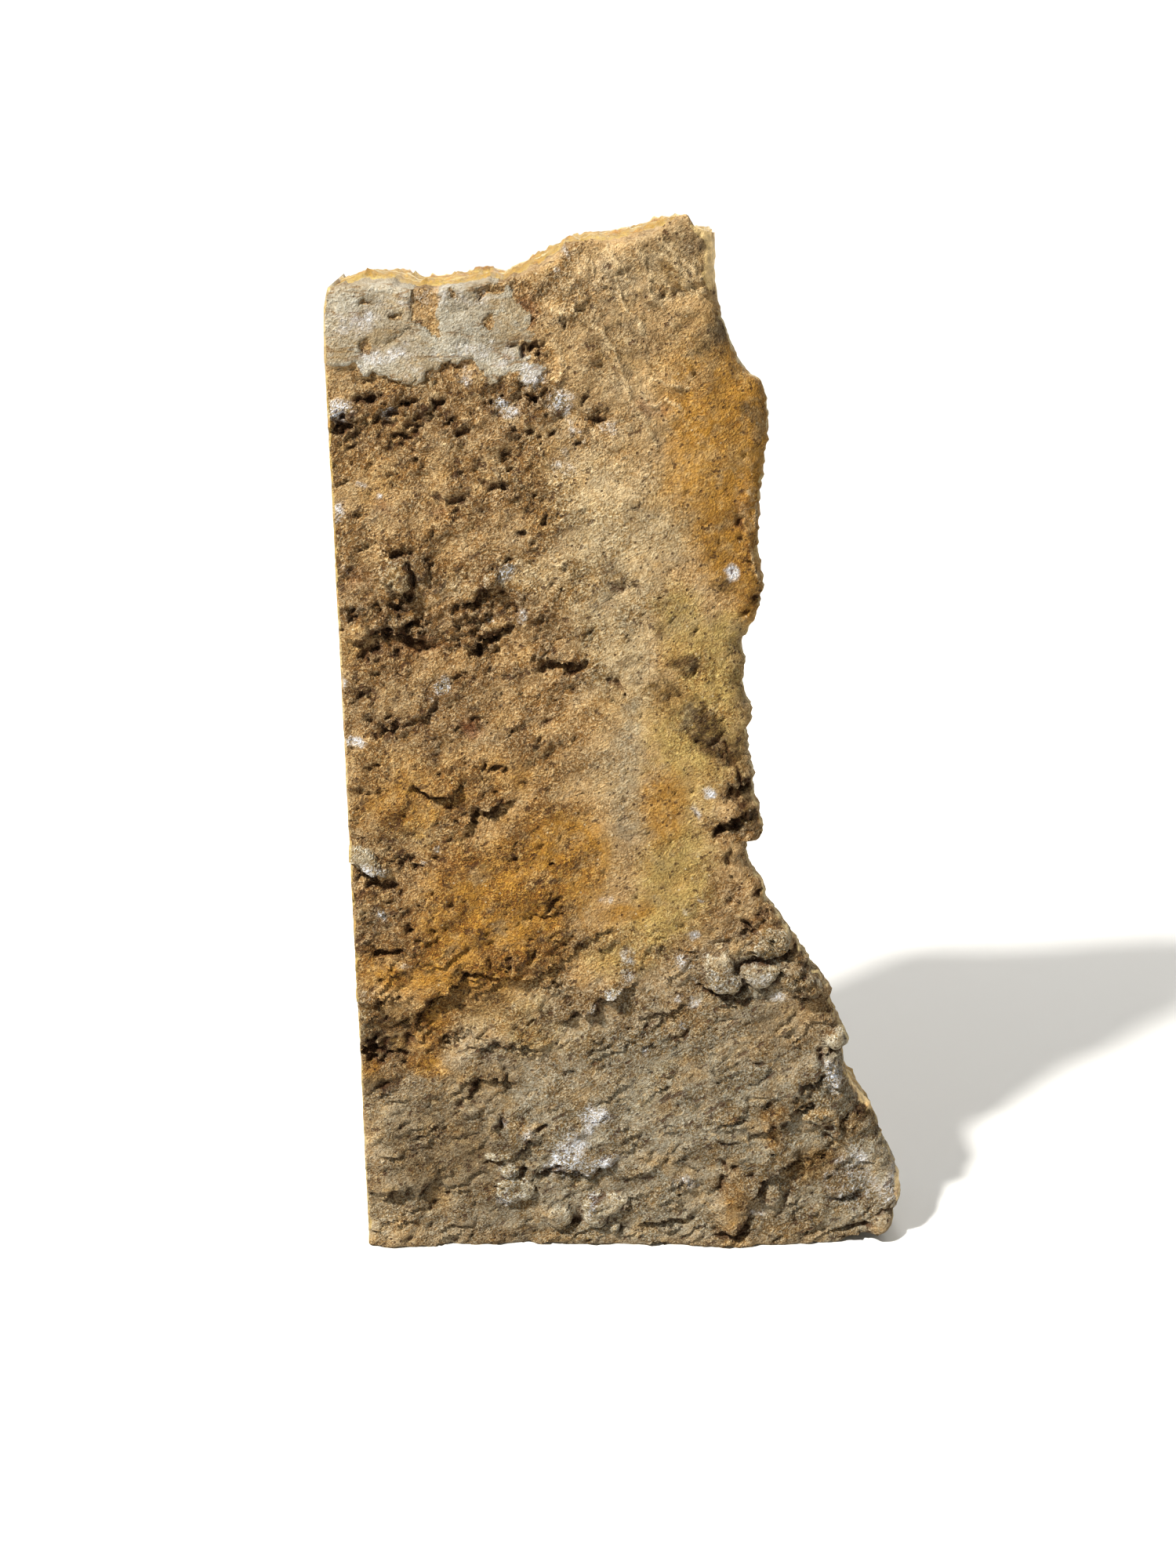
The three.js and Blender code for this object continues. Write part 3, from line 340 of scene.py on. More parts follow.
    ([(86.6, 116.8), (84.6, 115.8), (83.2, 113.6)], 0.28, 1.1),
    ([(87.4, 111.6), (85.8, 110), (83.6, 108.2), (82, 106.6)], 0.35, 1.3),
    ([(82.8, 131.4), (81.4, 128.6), (79.6, 127.6)], 0.4, 1.1),
    ([(82, 129.2), (83.4, 127), (82.6, 124.8)], 0.4, 1.2),
    ([(85.6, 103.6), (84, 101.2), (84.6, 98.4)], 0.35, 1.1),
    ([(69.6, 139.9), (72, 139), (73.6, 139.6)], 0.25, 0.6),
    ([(57, 142.9), (59.4, 142.4), (61.6, 141.4)], 0.55, 1.3),
    # right side
    ([(84.4, 115.7), (86.5, 117.6), (90, 117.8)], 0.8, 1.9),
    ([(81, 106.8), (82.6, 108.2), (85.4, 108.6), (87.5, 109.8)], 0.8, 2),
    ([(81.7, 130), (82.2, 126), (84.2, 123.4), (86, 120.7), (86.8, 118.6), (87.2, 115), (87.4, 110),
      (88.2, 108), (89, 105)], 0.22, 0.9),
    ([(84.8, 156.4), (86.6, 157.6), (88.6, 158.7)], 0.4, 1.2), ([(89.3, 160.7)], 0.6, 1.4),
    ([(84.9, 177.6)], 0.6, 1.4), ([(85.6, 176.5)], 0.5, 1.2), ([(84.8, 173.5)], 0.6, 1),
    ([(76.8, 145.3)], 0.6, 1.3), ([(71, 167)], 0.4, 1),
]

# The broken upper right corner: the line of the break, the fall of its face for each millimetre
# across, its greatest depth, and how soon the calcite shows on it.
CORNER_LINE = ((72.7, 240.2), (79.6, 224.5))
CORNER_SLOPE = 0.35
CORNER_DEPTH = 3.5
CORNER_SHOWS = 1.5

# Radii of the rounded edges of the front.
RIGHT_ROLL = 4.5
TOP_ROLL = 1.2
LEFT_ROLL = 0.7
FOOT_ROLL = 1.1

# How far proud parts lean out for each millimetre that they rise.
LEAN = 0.22

# Above this height the relief is eased off, over this much more.
PROUD = 2.0
PROUD_SPAN = 1.1

# Smooth grey skin of the upper left, and the windows broken through it.
SKIN_RISE = 0.7
SKIN = [
    (-4, 211), (1.8, 210.7), (5.6, 211.1), (6.5, 209.7), (9.4, 208.8), (15, 207.6), (19.4, 206.9),
    (20, 208.8), (22.7, 210.7), (26.5, 211.6), (29.9, 211.1), (31.3, 208.3), (33.2, 206.6), (34.6, 207.8),
    (37.5, 209.2), (38.9, 207.8), (41.8, 205), (43.5, 206.5), (43.8, 210), (41, 212), (39, 214.4),
    (41.8, 216), (42.3, 219.5), (40.5, 221.5), (38.9, 223.5), (36.5, 229), (30, 232), (-4, 232),
]
SKIN_WINDOWS = [
    [(17.8, 227), (23, 227), (22.3, 221), (23.3, 216), (20, 217.2), (17.2, 218.7)],
    [(6.4, 224.1), (8.8, 224), (8.6, 223), (6.6, 223)],
    [(13.4, 221), (15.3, 221.1), (15.3, 219.8), (13.6, 219.8)],
    [(31.6, 219.8), (33, 220.5), (33.7, 219.4), (32.6, 217.9)],
    [(6, 214), (8, 216.1), (9, 215), (8.4, 213), (6.6, 212.8)],
    [(24.4, 225.6), (25.6, 224.6), (27.4, 224.2), (26.2, 223.6), (24.6, 224.2)],
    [(30, 226), (36, 226.6), (35, 224.4), (31.4, 224.6)],
]

# Roughness of the front: (x, z, half length, half width, turn, amount).
CRUMBLY = [
    (20, 201, 24, 7, 0, 0.85), (44, 198, 14, 8, -20, 0.55), (34, 184, 12, 7, -20, 0.6),
    (8, 192, 12, 7, 0, 0.45), (16, 172, 22, 8, 0, 0.45), (22, 156, 30, 11, 0, 1.1),
    (47, 146, 10, 4, 0, 0.8), (14, 137, 16, 8, 15, 0.55), (28, 110, 12, 6, 25, 0.6),
    (8, 114, 10, 10, 0, 0.25), (8, 86, 12, 12, 0, 0.7), (40, 75, 14, 4, 18, 1.3), (8, 58, 12, 12, 0, 0.7),
    (88, 88, 8, 7, 0, 0.9), (80, 132, 7, 9, 20, 0.3), (88, 112, 5, 9, 0, 0.6), (98, 76, 10, 7, 0, 0.6),
    (88, 168, 4, 9, 0, 0.3), (104, 26, 20, 22, 0, 0.45), (60, 62, 30, 14, 10, 0.35),
    (40, 20, 16, 14, 0, 0.35), (28, 127, 20, 9, 20, 0.5), (46, 134, 10, 8, 20, 0.3),
    (76, 142, 8, 8, 0, 0.35), (84, 104, 6, 10, 0, 0.5), (62, 168, 6, 14, 20, 0.2),
]

# Creased clay: (x, z, half length, half width, turn, amount).
CREASED = [
    (60, 216, 14, 24, 10, 1), (72, 228, 9, 10, 0, 1), (56, 190, 10, 10, 0, 0.6), (36, 222, 5, 8, 0, 0.4),
    (88, 180, 4, 12, 0, 0.7),
]

# Thin pale veins standing out of the clay: (path, half width).
VEINS = [
    ([(46, 221.6), (50, 221), (53.5, 219.4), (55.6, 218.2), (56.2, 215.2), (58.4, 213), (59.6, 209.6),
      (61.2, 206.8), (61.8, 203.6), (63.4, 200.4), (65.6, 197), (67.2, 193.6)], 0.4),
    ([(52, 231), (55, 228.4), (57.4, 226.2), (60.2, 224.4), (61.6, 221), (64, 217.6)], 0.3),
    ([(62, 234), (64, 230.8), (65.4, 227.4), (66.2, 224), (68.6, 221.6)], 0.3),
    ([(67.6, 232), (71, 230), (74.3, 227.8)], 0.4), ([(74.3, 225.5), (77, 226.4), (79.5, 227)], 0.3),
    ([(77, 220.3), (79.9, 220.2)], 0.16),
    ([(63.6, 204.8), (66.2, 203), (69.4, 203.4), (71.8, 201.2)], 0.22),
    ([(58.4, 190), (62, 191.6), (64.8, 190.2), (66.8, 191)], 0.22),
    ([(39.4, 201), (40.3, 198), (40.1, 195.4), (42.7, 193.5), (44, 191)], 0.35),
    ([(33.4, 191), (36, 188), (38.4, 186.4), (41.4, 184.4)], 0.3),
    ([(44, 192), (46.4, 189.6), (47, 186), (50.4, 183.4)], 0.4),
    ([(32, 169.7), (38, 168.5), (42, 169.7), (46, 169.3), (49.4, 167.5)], 0.35),
    ([(14.6, 201.8), (16.4, 199.6), (17.2, 196.2), (19.6, 195)], 0.2),
    ([(23, 163), (27, 164.6), (30.6, 163.8)], 0.25), ([(22.4, 213.4), (25.2, 209.4), (28.4, 206.4)], 0.3),
    ([(86.4, 184.4), (87.6, 181.4), (89.2, 180), (89, 176.8), (90.2, 174)], 0.3),
    ([(86.6, 172.4), (88.4, 170), (88.8, 166.4), (89.8, 164)], 0.3),
    ([(80, 12.8), (81.6, 11.4), (82.8, 9.6)], 0.4), ([(86.8, 2.6), (88.4, 3.2), (90, 2.6)], 0.35),
    ([(90, 26.6), (90.2, 28.4), (89.8, 30.2)], 0.3), ([(0.4, 86), (2, 88), (1, 90)], 0.5),
    ([(33, 34.8), (35.6, 33.8), (37.8, 31.8), (38.8, 30)], 0.7),
    ([(37.8, 31.8), (39.8, 32), (41.4, 33.8)], 0.6),
    ([(104.6, 33.4), (106.6, 35.4), (109.4, 36.6), (111.8, 35), (112.6, 31.6), (112.2, 28)], 0.55),
    ([(84.4, 29.6), (83.4, 31.4), (81.8, 31.6)], 0.35),
    ([(45.4, 216), (47.6, 213.6), (48.2, 210), (46.8, 206.6)], 0.45),
    ([(66.6, 236.4), (69, 233), (72.6, 231), (75.6, 227.6)], 0.35),
    ([(57, 234), (59, 231.4), (60.4, 228)], 0.4), ([(49, 228), (51, 225), (50.6, 221.6)], 0.35),
    ([(66, 209), (69.4, 206.6), (71.6, 205.6), (74.4, 206)], 0.3),
    ([(44.6, 187.4), (47, 184), (51, 181.4)], 0.4), ([(33, 188.8), (37, 186.2), (40, 182.6)], 0.3),
]

# ---- Colour zones of the rind: (x, z, half length, half width, turn, strength) ----

COLOUR_ZONES = {
    "ochre": [
        (82, 198, 16, 26, 0, 1), (84, 172, 8, 12, 0, 0.7), (34, 92, 24, 15, 20, 1), (47, 104, 10, 10, 0, 1),
        (16, 58, 7, 12, -20, 0.65), (28, 76, 22, 9, 10, 0.8), (6, 74, 9, 5, 0, 0.7),
        (16, 48, 7, 3, 0, 0.75), (1.5, 47.5, 2.5, 3, 0, 1), (70, 114, 6, 11, 0, 0.9),
        (63, 88, 7, 3, 10, 0.8), (30, 122, 26, 10, 0, 0.45), (12, 112, 16, 10, 0, 0.55),
        (79, 215, 5, 6, 0, 0.6), (88, 12, 6, 9, -10, 0.55), (97, 29, 3.5, 5, 0, 0.5),
        (26, 148, 26, 8, 0, 0.35), (104, 62, 6, 5, -30, 0.45), (124, 4.6, 4.5, 3, 0, 0.35),
        (3, 8.5, 4, 2, 0, 0.15), (88, 160, 4, 8, 0, 0.6), (52, 62, 14, 5, 20, 0.3), (30, 65, 8, 5, 15, 0.5),
        (96, 36.5, 4, 3.5, 0, 0.5), (10, 182, 8, 4, 0, 0.3), (40, 222, 5, 8, 0, 0.3),
    ],
    "olive": [
        (74, 100, 10, 14, 0, 0.9), (76, 128, 13, 14, 0, 0.9), (80, 146, 10, 12, 0, 0.8),
        (72, 158, 6, 10, 0, 0.7), (60, 78, 12, 8, 10, 0.7), (32, 64, 14, 8, 10, 0.5),
        (70, 88, 10, 7, 0, 0.8), (44, 54, 16, 8, 10, 0.35), (68, 44, 14, 10, 0, 0.3),
        (110, 8, 8, 4, 0, 0.35), (84, 155, 4, 5, 0, 0.5), (15, 109, 10, 6, 0, 0.55),
    ],
    "pale": [
        (58, 172, 14, 22, 0, 0.9), (72, 182, 5, 10, 0, 0.8), (60, 148, 8, 14, 0, 0.8),
        (63, 135, 4.5, 9, -12, 0.7), (59.5, 121, 8, 10, 10, 0.55), (66, 110.5, 3.6, 6, 0, 0.8),
        (58, 100, 4, 8, 0, 0.5), (71, 97, 6, 7, 0, 0.85), (57, 152, 6, 8, 0, 0.4), (71, 181, 4, 9, 0, 0.4),
        (48, 186, 6, 8, 0, 0.5), (40, 166, 10, 4, 0, 0.5), (72, 232, 6, 6, 0, 0.35),
        (62, 208, 6, 14, 10, 0.4), (12, 166, 5, 5, 0, 0.7), (4, 101, 5, 4, 0, 0.6),
        (15, 108, 11, 5, 0, 0.7), (24, 164, 4, 3, 0, 0.5), (13, 156, 4, 3, 0, 0.5),
        (96, 80.5, 5, 4, 0, 0.7), (111, 55, 2.5, 2, 0, 0.7), (50, 38, 10, 10, 30, 0.4),
        (75, 26, 3, 4, 0, 0.4), (84, 76, 6, 6, 0, 0.3), (46, 8, 4, 4, 0, 0.3), (56, 12, 6, 5, 0, 0.3),
        (2, 34, 2, 8, 0, 0.5), (1, 61, 1.6, 7, 0, 0.9), (14, 74, 3, 2, 0, 0.6), (3, 8, 4, 5, 0, 0.6),
        (20.6, 39.4, 2.4, 1.6, 20, 0.7), (24, 8, 3, 3, 0, 0.5), (104, 8, 4, 4, 0, 0.4),
    ],
    "grey": [
        (70, 38, 62, 38, 0, 0.85), (20, 22, 28, 30, 0, 0.7), (118, 18, 10, 14, 0, 0.8),
        (112, 20, 20, 22, 0, 0.9), (90, 72, 14, 9, 0, 0.8), (110, 46, 6, 8, 0, 0.9),
        (46, 14, 14, 12, 0, 0.6), (68, 6, 20, 8, 0, 0.6), (58, 226, 12, 10, 0, 0.35),
        (48, 200, 6, 8, 0, 0.4), (62, 130, 5, 14, -8, 0.5), (62, 110, 7, 8, 0, 0.5),
        (58, 162, 10, 14, 0, 0.3),
    ],
    "bloom": [
        (8.6, 211.6, 3.4, 2.2, 10, 0.55), (13, 213, 5, 2, 10, 0.3), (19, 209.4, 5, 1.8, 0, 0.3),
        (28, 213.6, 8, 2.4, 0, 0.45), (36, 210.6, 4, 2.6, -20, 0.3), (24, 224, 12, 3, 0, 0.3),
        (6, 220, 6, 4, 0, 0.3), (1.4, 201, 2.6, 2.6, 40, 1), (11.8, 200.9, 2, 1.1, 5, 1),
        (27.8, 208, 2, 2, 0, 0.6), (35.4, 202, 2.8, 1.3, -10, 0.9), (42, 208.6, 2.4, 3.6, 20, 0.45),
        (47.4, 203.2, 2.6, 2, 0, 0.8), (50, 198, 1.6, 3, 20, 0.5), (47, 190.4, 4, 3, 0, 0.4),
        (49, 232.6, 1.2, 1.2, 0, 0.7), (46.5, 229.4, 1.4, 0.8, 0, 0.4), (57, 197.6, 2, 1.6, 0, 0.5),
        (6, 185.6, 1.4, 1, 0, 0.7), (9.4, 183.4, 1, 1, 0, 0.7), (0.4, 180, 2, 2.4, 0, 0.6),
        (35.4, 167, 1.8, 1.7, 0, 0.8), (31.9, 156.1, 0.9, 0.8, 0, 0.9), (38.6, 156.6, 1.2, 2, 0, 0.6),
        (0.2, 142.4, 1.4, 1.4, 0, 0.7), (21.6, 142.2, 1.2, 2, -35, 1), (18.8, 138.8, 0.8, 0.8, 0, 0.7),
        (1.8, 128.5, 2.6, 1.4, 0, 1), (19.4, 103.2, 0.7, 1.1, 0, 0.8), (4, 99.4, 2, 2.4, 40, 0.8),
        (16.7, 100.5, 1, 0.7, 0, 0.6), (6.6, 87.2, 1.7, 0.9, -35, 0.8), (7, 98, 1.4, 1.6, 0, 0.4),
        (79.4, 117.4, 1.7, 1.3, 20, 1), (77.4, 111.6, 1, 2.2, 15, 0.7), (83.8, 166.8, 1.5, 1.6, 0, 1),
        (77.2, 82.4, 1.4, 1.5, 0, 0.7), (75.4, 88, 1.1, 0.8, 0, 0.7), (78.6, 91, 1.2, 0.6, -25, 0.8),
        (73.2, 66.2, 1.3, 1.2, 0, 0.8), (77.6, 64.9, 1.9, 1.7, 30, 0.7), (74.6, 59.4, 0.9, 2, 0, 0.8),
        (77.6, 70.8, 0.8, 0.9, 0, 0.7), (74.6, 76.6, 0.9, 1.1, 0, 0.7), (66, 52.4, 0.8, 0.8, 0, 0.7),
        (97.4, 67, 2.2, 1.1, -10, 0.9), (49, 26.8, 4.4, 4, 0, 1), (45, 23.2, 4, 1.6, 25, 0.9),
        (55.2, 36, 3.4, 2, 0, 0.95), (53.4, 32.6, 1.4, 2.6, -15, 0.5), (56.4, 23.8, 4.4, 1.3, 10, 0.8),
        (50, 21, 6, 2, 10, 0.3), (38.6, 30.8, 2.4, 1.6, 30, 0.5), (33.4, 33.8, 2, 0.9, 0, 0.6),
        (53.4, 12.4, 1.2, 3, -25, 0.6), (33, 13.6, 1.4, 1.8, 0, 0.5), (110, 46.8, 2.6, 3.6, 30, 0.6),
        (53, 64.4, 2.2, 1.1, 30, 0.7), (58.3, 68.4, 2.4, 1.1, 20, 0.8), (62, 72, 2, 1.6, 20, 0.6),
        (62, 77, 1.6, 3, -10, 0.6), (83.5, 72, 4.4, 4, 0, 0.4), (92, 72, 3.4, 2.4, 0, 0.35),
        (76, 76, 3, 4, 0, 0.3), (35.5, 15.6, 4.6, 3.4, 0, 0.2), (46.6, 8.2, 3.6, 3, 0, 0.2),
        (56.6, 11.2, 4.6, 4, 0, 0.15), (46, 16, 5, 3, 0, 0.1), (34, 21, 2.6, 2, 0, 0.4),
        (76, 18, 2.6, 2.2, 0, 0.6), (2.4, 67, 2.4, 1.8, 0, 0.4), (117.4, 21, 4, 5, 0, 0.3),
        (118, 15, 9, 8, 0, 0.3), (126, 16, 2.4, 7, 0, 0.5), (111, 43.4, 2, 4, 10, 0.6),
        (118, 26, 4, 4, 0, 0.15), (118.6, 22.4, 2, 1.6, 0, 0.5), (110.4, 16.6, 1.4, 2, 0, 0.3),
        (57.6, 91.4, 1.8, 1.8, 0, 0.4), (12, 74.6, 1.8, 1, 0, 0.4), (1.2, 167.4, 1.6, 2, 0, 0.4),
        (93, 9, 3, 1.6, 0, 0.3),
    ],
    "stain": [
        (70.4, 140.6, 7, 3.6, -25, 0.75), (76.6, 134.4, 6, 4.6, -35, 0.75),
        (81, 128.2, 6.4, 4.6, -30, 0.75), (85, 124, 2.4, 4, 20, 0.8), (86.4, 117.6, 4, 2.4, 10, 0.9),
        (84, 108.4, 4.4, 2, 20, 0.9), (84.4, 101.6, 3, 2.4, 0, 0.7), (75, 147, 4, 2.6, 10, 0.7),
        (88, 112, 2, 4, 0, 0.6), (75, 146.8, 5.6, 3, 10, 0.6), (62.6, 147.4, 3, 2, 20, 0.6),
        (68.6, 155, 2, 3.4, 0, 0.6), (81.4, 163.4, 4, 2.6, 10, 0.6), (87, 201, 3, 4, 0, 0.3),
        (72, 225, 4, 1.4, 5, 0.5), (119, 35, 4, 2, -40, 0.8), (122, 31, 1.6, 2.4, 0, 0.8),
        (41, 225, 4, 4, 0, 0.4), (107, 66, 3, 2, -30, 0.6), (100, 77.5, 2.4, 1.8, 0, 0.7),
        (87.4, 107.6, 4, 3, 30, 0.5), (88, 118, 3, 3, 0, 0.5), (20.5, 37, 3.5, 2, 0, 0.4),
        (95, 86, 3, 2, 0, 0.5), (5, 43, 4, 2, 0, 0.4), (25.4, 34.6, 4.4, 3, -20, 0.45),
        (109.6, 31.6, 1.6, 3.4, 0, 0.8), (5, 53.6, 8, 3.6, 10, 0.9), (5, 45, 6, 3, 10, 0.8),
        (124, 33, 2, 4, 0, 0.6), (46, 76, 8, 2, 25, 0.35), (76, 216, 8, 5, 0, 0.3),
    ],
    "rust": [
        (27.5, 132, 3.4, 3, 0, 0.9), (9, 181, 4, 2, 0, 0.7), (40, 222, 4, 6, 0, 0.7),
        (4, 166, 4, 4, 0, 0.6), (2, 92, 2.4, 2.4, 0, 0.8), (22, 180, 4, 3, 0, 0.5),
        (86, 178, 3, 12, 0, 0.5), (16, 151, 12, 4, 0, 0.5), (42, 151, 6, 4, 0, 0.3),
        (66, 202, 6, 3, 0, 0.6), (20, 212, 16, 5, 0, 0.6), (34, 78, 14, 4, 15, 0.4),
        (62, 214, 6, 5, 0, 0.3), (22, 99, 6, 3, 0, 0.35),
    ],
    "umber": [
        (20, 26, 22, 22, 0, 0.8), (30, 45, 9, 5, 0, 0.8), (8, 60, 6, 7, 0, 0.8), (107, 21, 8, 7, 0, 1),
        (30, 65, 9, 6, 0, 0.6), (70, 232, 9, 7, 0, 0.95), (78, 217, 6, 7, 0, 0.8),
        (60, 216, 13, 12, 0, 0.65), (54, 204, 8, 7, 0, 0.6), (104, 72, 8, 6, -30, 0.7),
        (96, 60, 9, 7, 0, 0.6), (60, 100, 6, 8, 0, 0.25), (60, 118, 9, 13, 0, 0.35),
        (71, 113, 4, 8, 0, 0.45), (88, 86, 8, 5, 0, 0.5), (92, 34, 10, 8, 0, 0.4), (108, 8, 12, 5, 0, 0.4),
        (4, 88, 5, 8, 0, 0.5), (46, 77, 10, 3, 25, 0.5), (40, 152, 8, 5, 0, 0.3), (20, 152, 20, 4, 0, 0.3),
        (86, 150, 3, 8, 0, 0.3),
    ],
}

# Calcite bare of its rind along the edges of the front.
BARE = [
    (118.4, 38.6, 8, 2.2, -56, 1), (127.6, 14, 1.6, 7, 0, 0.8), (78.2, 231, 2.6, 8, 0, 1),
    (76.6, 237, 3.4, 1.8, -20, 1), (92.6, 96, 1.2, 5, 0, 0.7), (104, 78, 6, 1.4, -55, 0.6),
    (53.5, 2.4, 4, 1.8, 0, 0.5), (61, 236.4, 7, 1.4, 12, 0.7), (11, 228.4, 10, 1.1, 0, 0.7),
    (32, 228.2, 9, 0.9, 3, 0.6), (44, 231.6, 5.5, 1.3, 36, 0.65),
]

# ---- Noise of the clay and of the broken calcite ----

# Cosine and sine of the lines along which the clay and its creases run.
CLAY_GRAIN = (0.84, 0.54)
FOLD_GRAIN = (0.77, -0.64)
# Climb of the clay's scales and of the grain in its colour, and the width of one scale.
GRAIN_TURN = math.radians(33)
SHINGLE_STEP = 2.9
# Waves that bend what is traced on the front: (size, shift, seed for x, seed for z).
WANDER = ((4.6, 1.5, 1, 3), (1.7, 0.8, 2, 4))
PLATE_WANDER = ((2.4, 0.6, 91, 92),)
# Lumps of crumbled clay and scallops of broken calcite: (size, height, seed).
CLODS = ((5.2, 0.65, 11), (2.5, 0.85, 23), (1.35, 0.75, 37))
SCALLOPS = ((6.5, 1.5, 71), (2.9, 0.8, 73), (1.5, 0.4, 79))

# ---- The broken sides and the texture map ----

# How far the broken right side runs in behind the rind by the back, at each height.
RIGHT_INSET = [
    (0, 0), (10, 2.5), (30, 3), (60, 4.6), (90, 4.6), (110, 2), (150, 2), (200, 2.5), (222, 1), (240, 0),
]
# How far the top stands above its front edge, at each distance from the left side.
TOP_CREST = [
    (0, -0.6), (4, 0.3), (12, 1), (20, -0.4), (27, 0.5), (36, 0.2), (41, 0.8), (46, 1.2), (51, -0.8),
    (60, 0.6), (66, 0.4), (72, -2), (79, 0),
]
# Texture map: millimetres across the whole map for the front and the back, and the strips of the
# foot, right, top and left sides: (left, low, width, height).
FRONT_MAP_SPAN = 244
BACK_MAP_SPAN = 330
MAP_MARGIN = 0.005
MAP_RIGHT = 0.55
MAP_STRIPS = (
    (0.55, 0.80, 0.20, 0.06), (0.55, 0.93, 0.44, 0.065), (0.76, 0.80, 0.235, 0.12),
    (0.55, 0.742, 0.44, 0.052),
)

# ---- Noise functions ----

# Large odd numbers that scramble the lattice hash, which is kept to 32 bits.
HASH_ACROSS, HASH_UP, HASH_SEED, HASH_MIX = 374761393, 668265263, 974634777, 1274126177
HASH_LIMIT = 0xFFFFFFFF


def lattice_hash(i, j, seed):
    """A fixed pseudo-random number from 0 to 1 for each lattice point."""
    n = i.astype(np.int64) * HASH_ACROSS + j.astype(np.int64) * HASH_UP + seed * HASH_SEED
    n &= HASH_LIMIT
    n = ((n ^ (n >> 13)) * HASH_MIX) & HASH_LIMIT
    return (n ^ (n >> 16)) / HASH_LIMIT


def noise(x, z, seed):
    """Smooth gradient noise, about -0.7 to 0.7, with one bump about every unit."""
    i, j = np.floor(x), np.floor(z)
    a, b = x - i, z - j
    fade_a, fade_b = a ** 3 * (a * (a * 6 - 15) + 10), b ** 3 * (b * (b * 6 - 15) + 10)

    def corner(di, dj):
        angle = 2 * math.pi * lattice_hash(i + di, j + dj, seed)
        return np.cos(angle) * (a - di) + np.sin(angle) * (b - dj)

    near = corner(0, 0) * (1 - fade_a) + corner(1, 0) * fade_a
    far = corner(0, 1) * (1 - fade_a) + corner(1, 1) * fade_a
    return near * (1 - fade_b) + far * fade_b


def cells(x, z, seed):
    """Random cells about one unit wide: distance to the nearest point, to the second, the offset
    from the nearest point and two random numbers for its cell."""
    first, second = np.full(x.shape, 9.0), np.full(x.shape, 9.0)
    away_x, away_z, pick, pick_two = (np.zeros(x.shape) for _ in range(4))
    for di in (-1, 0, 1):
        for dj in (-1, 0, 1):
            i, j = np.floor(x) + di, np.floor(z) + dj
            dx = x - i - lattice_hash(i, j, seed)
            dz = z - j - lattice_hash(i, j, seed + 7)
            distance = np.hypot(dx, dz)
            closer = distance < first
            second = np.where(closer, first, np.minimum(second, distance))
            first = np.where(closer, distance, first)
            away_x, away_z = np.where(closer, dx, away_x), np.where(closer, dz, away_z)
            pick = np.where(closer, lattice_hash(i, j, seed + 13), pick)
            pick_two = np.where(closer, lattice_hash(i, j, seed + 19), pick_two)
    return first, second, away_x, away_z, pick, pick_two


# ---- Shape functions ----

def smooth_step(low, high, value):
    """0 below the low value, 1 above the high one and a smooth climb between them."""
    part = np.clip((value - low) / (high - low), 0, 1)
    return part * part * (3 - 2 * part)


def turned(x, z, cosine, sine):
    """Coordinates along and across a line with this cosine and sine to the level."""
    return x * cosine + z * sine, z * cosine - x * sine


def wandered(x, z, waves):
    """Coordinates shifted by noise. Each wave has (size, shift, seed for x, seed for z)."""
    shifted_x, shifted_z = x, z
    for size, shift, seed_x, seed_z in waves:
        shifted_x = shifted_x + shift * noise(x / size, z / size, seed_x)
        shifted_z = shifted_z + shift * noise(x / size, z / size, seed_z)
    return shifted_x, shifted_z


def blob(spot, x, z):
    """1 inside a soft ellipse, fading to 0 outside it, times the spot's own strength."""
    centre_x, centre_z, half_length, half_width, turn, strength = spot
    angle = math.radians(turn)
    along, across = turned(x - centre_x, z - centre_z, math.cos(angle), math.sin(angle))
    radius = np.sqrt((along / half_length) ** 2 + (across / half_width) ** 2)
    return strength * np.exp(-radius ** 2.4)


def zone(spots, x, z):
    """How strongly a point belongs to a zone made of blobs, from 0 to about 1."""
    outside = np.ones(x.shape)
    for spot in spots:
        outside *= 1 - np.clip(blob(spot, x, z), 0, 1)
    return 1 - outside


def measure_path(path, x, z):
    """Distance to a path, the side (1 above it, -1 below) and how far along it, from 0 to 1."""
    best = np.full(x.shape, np.inf)
    side = np.ones(x.shape)
    along = np.zeros(x.shape)
    for k, (start, end) in enumerate(zip(path[:-1], path[1:])):
        step_x, step_z = end[0] - start[0], end[1] - start[1]
        reach = ((x - start[0]) * step_x + (z - start[1]) * step_z) / (step_x ** 2 + step_z ** 2)
        part = np.clip(reach, 0, 1)
        away_x, away_z = x - start[0] - step_x * part, z - start[1] - step_z * part
        distance = np.hypot(away_x, away_z)
        closer = distance < best
        best = np.where(closer, distance, best)
        side = np.where(closer, np.where(step_x * away_z - step_z * away_x >= 0, 1, -1), side)
        along = np.where(closer, (k + part) / (len(path) - 1), along)
    return best, side, along


def inside_outline(outline, x, z):
    """Signed distance to a closed outline, positive inside."""
    distance, _, _ = measure_path(outline + outline[:1], x, z)
    inside = np.zeros(x.shape, bool)
    for start, end in zip(outline, outline[1:] + outline[:1]):
        crosses = (start[1] > z) != (end[1] > z)
        height = end[1] - start[1] if end[1] != start[1] else 1
        inside ^= crosses & (x < start[0] + (z - start[1]) / height * (end[0] - start[0]))
    return np.where(inside, distance, -distance)


def distance_along(points):
    """How far along a line of points each one lies."""
    return np.concatenate([[0], np.cumsum(np.hypot(*np.diff(points, axis=0).T))])


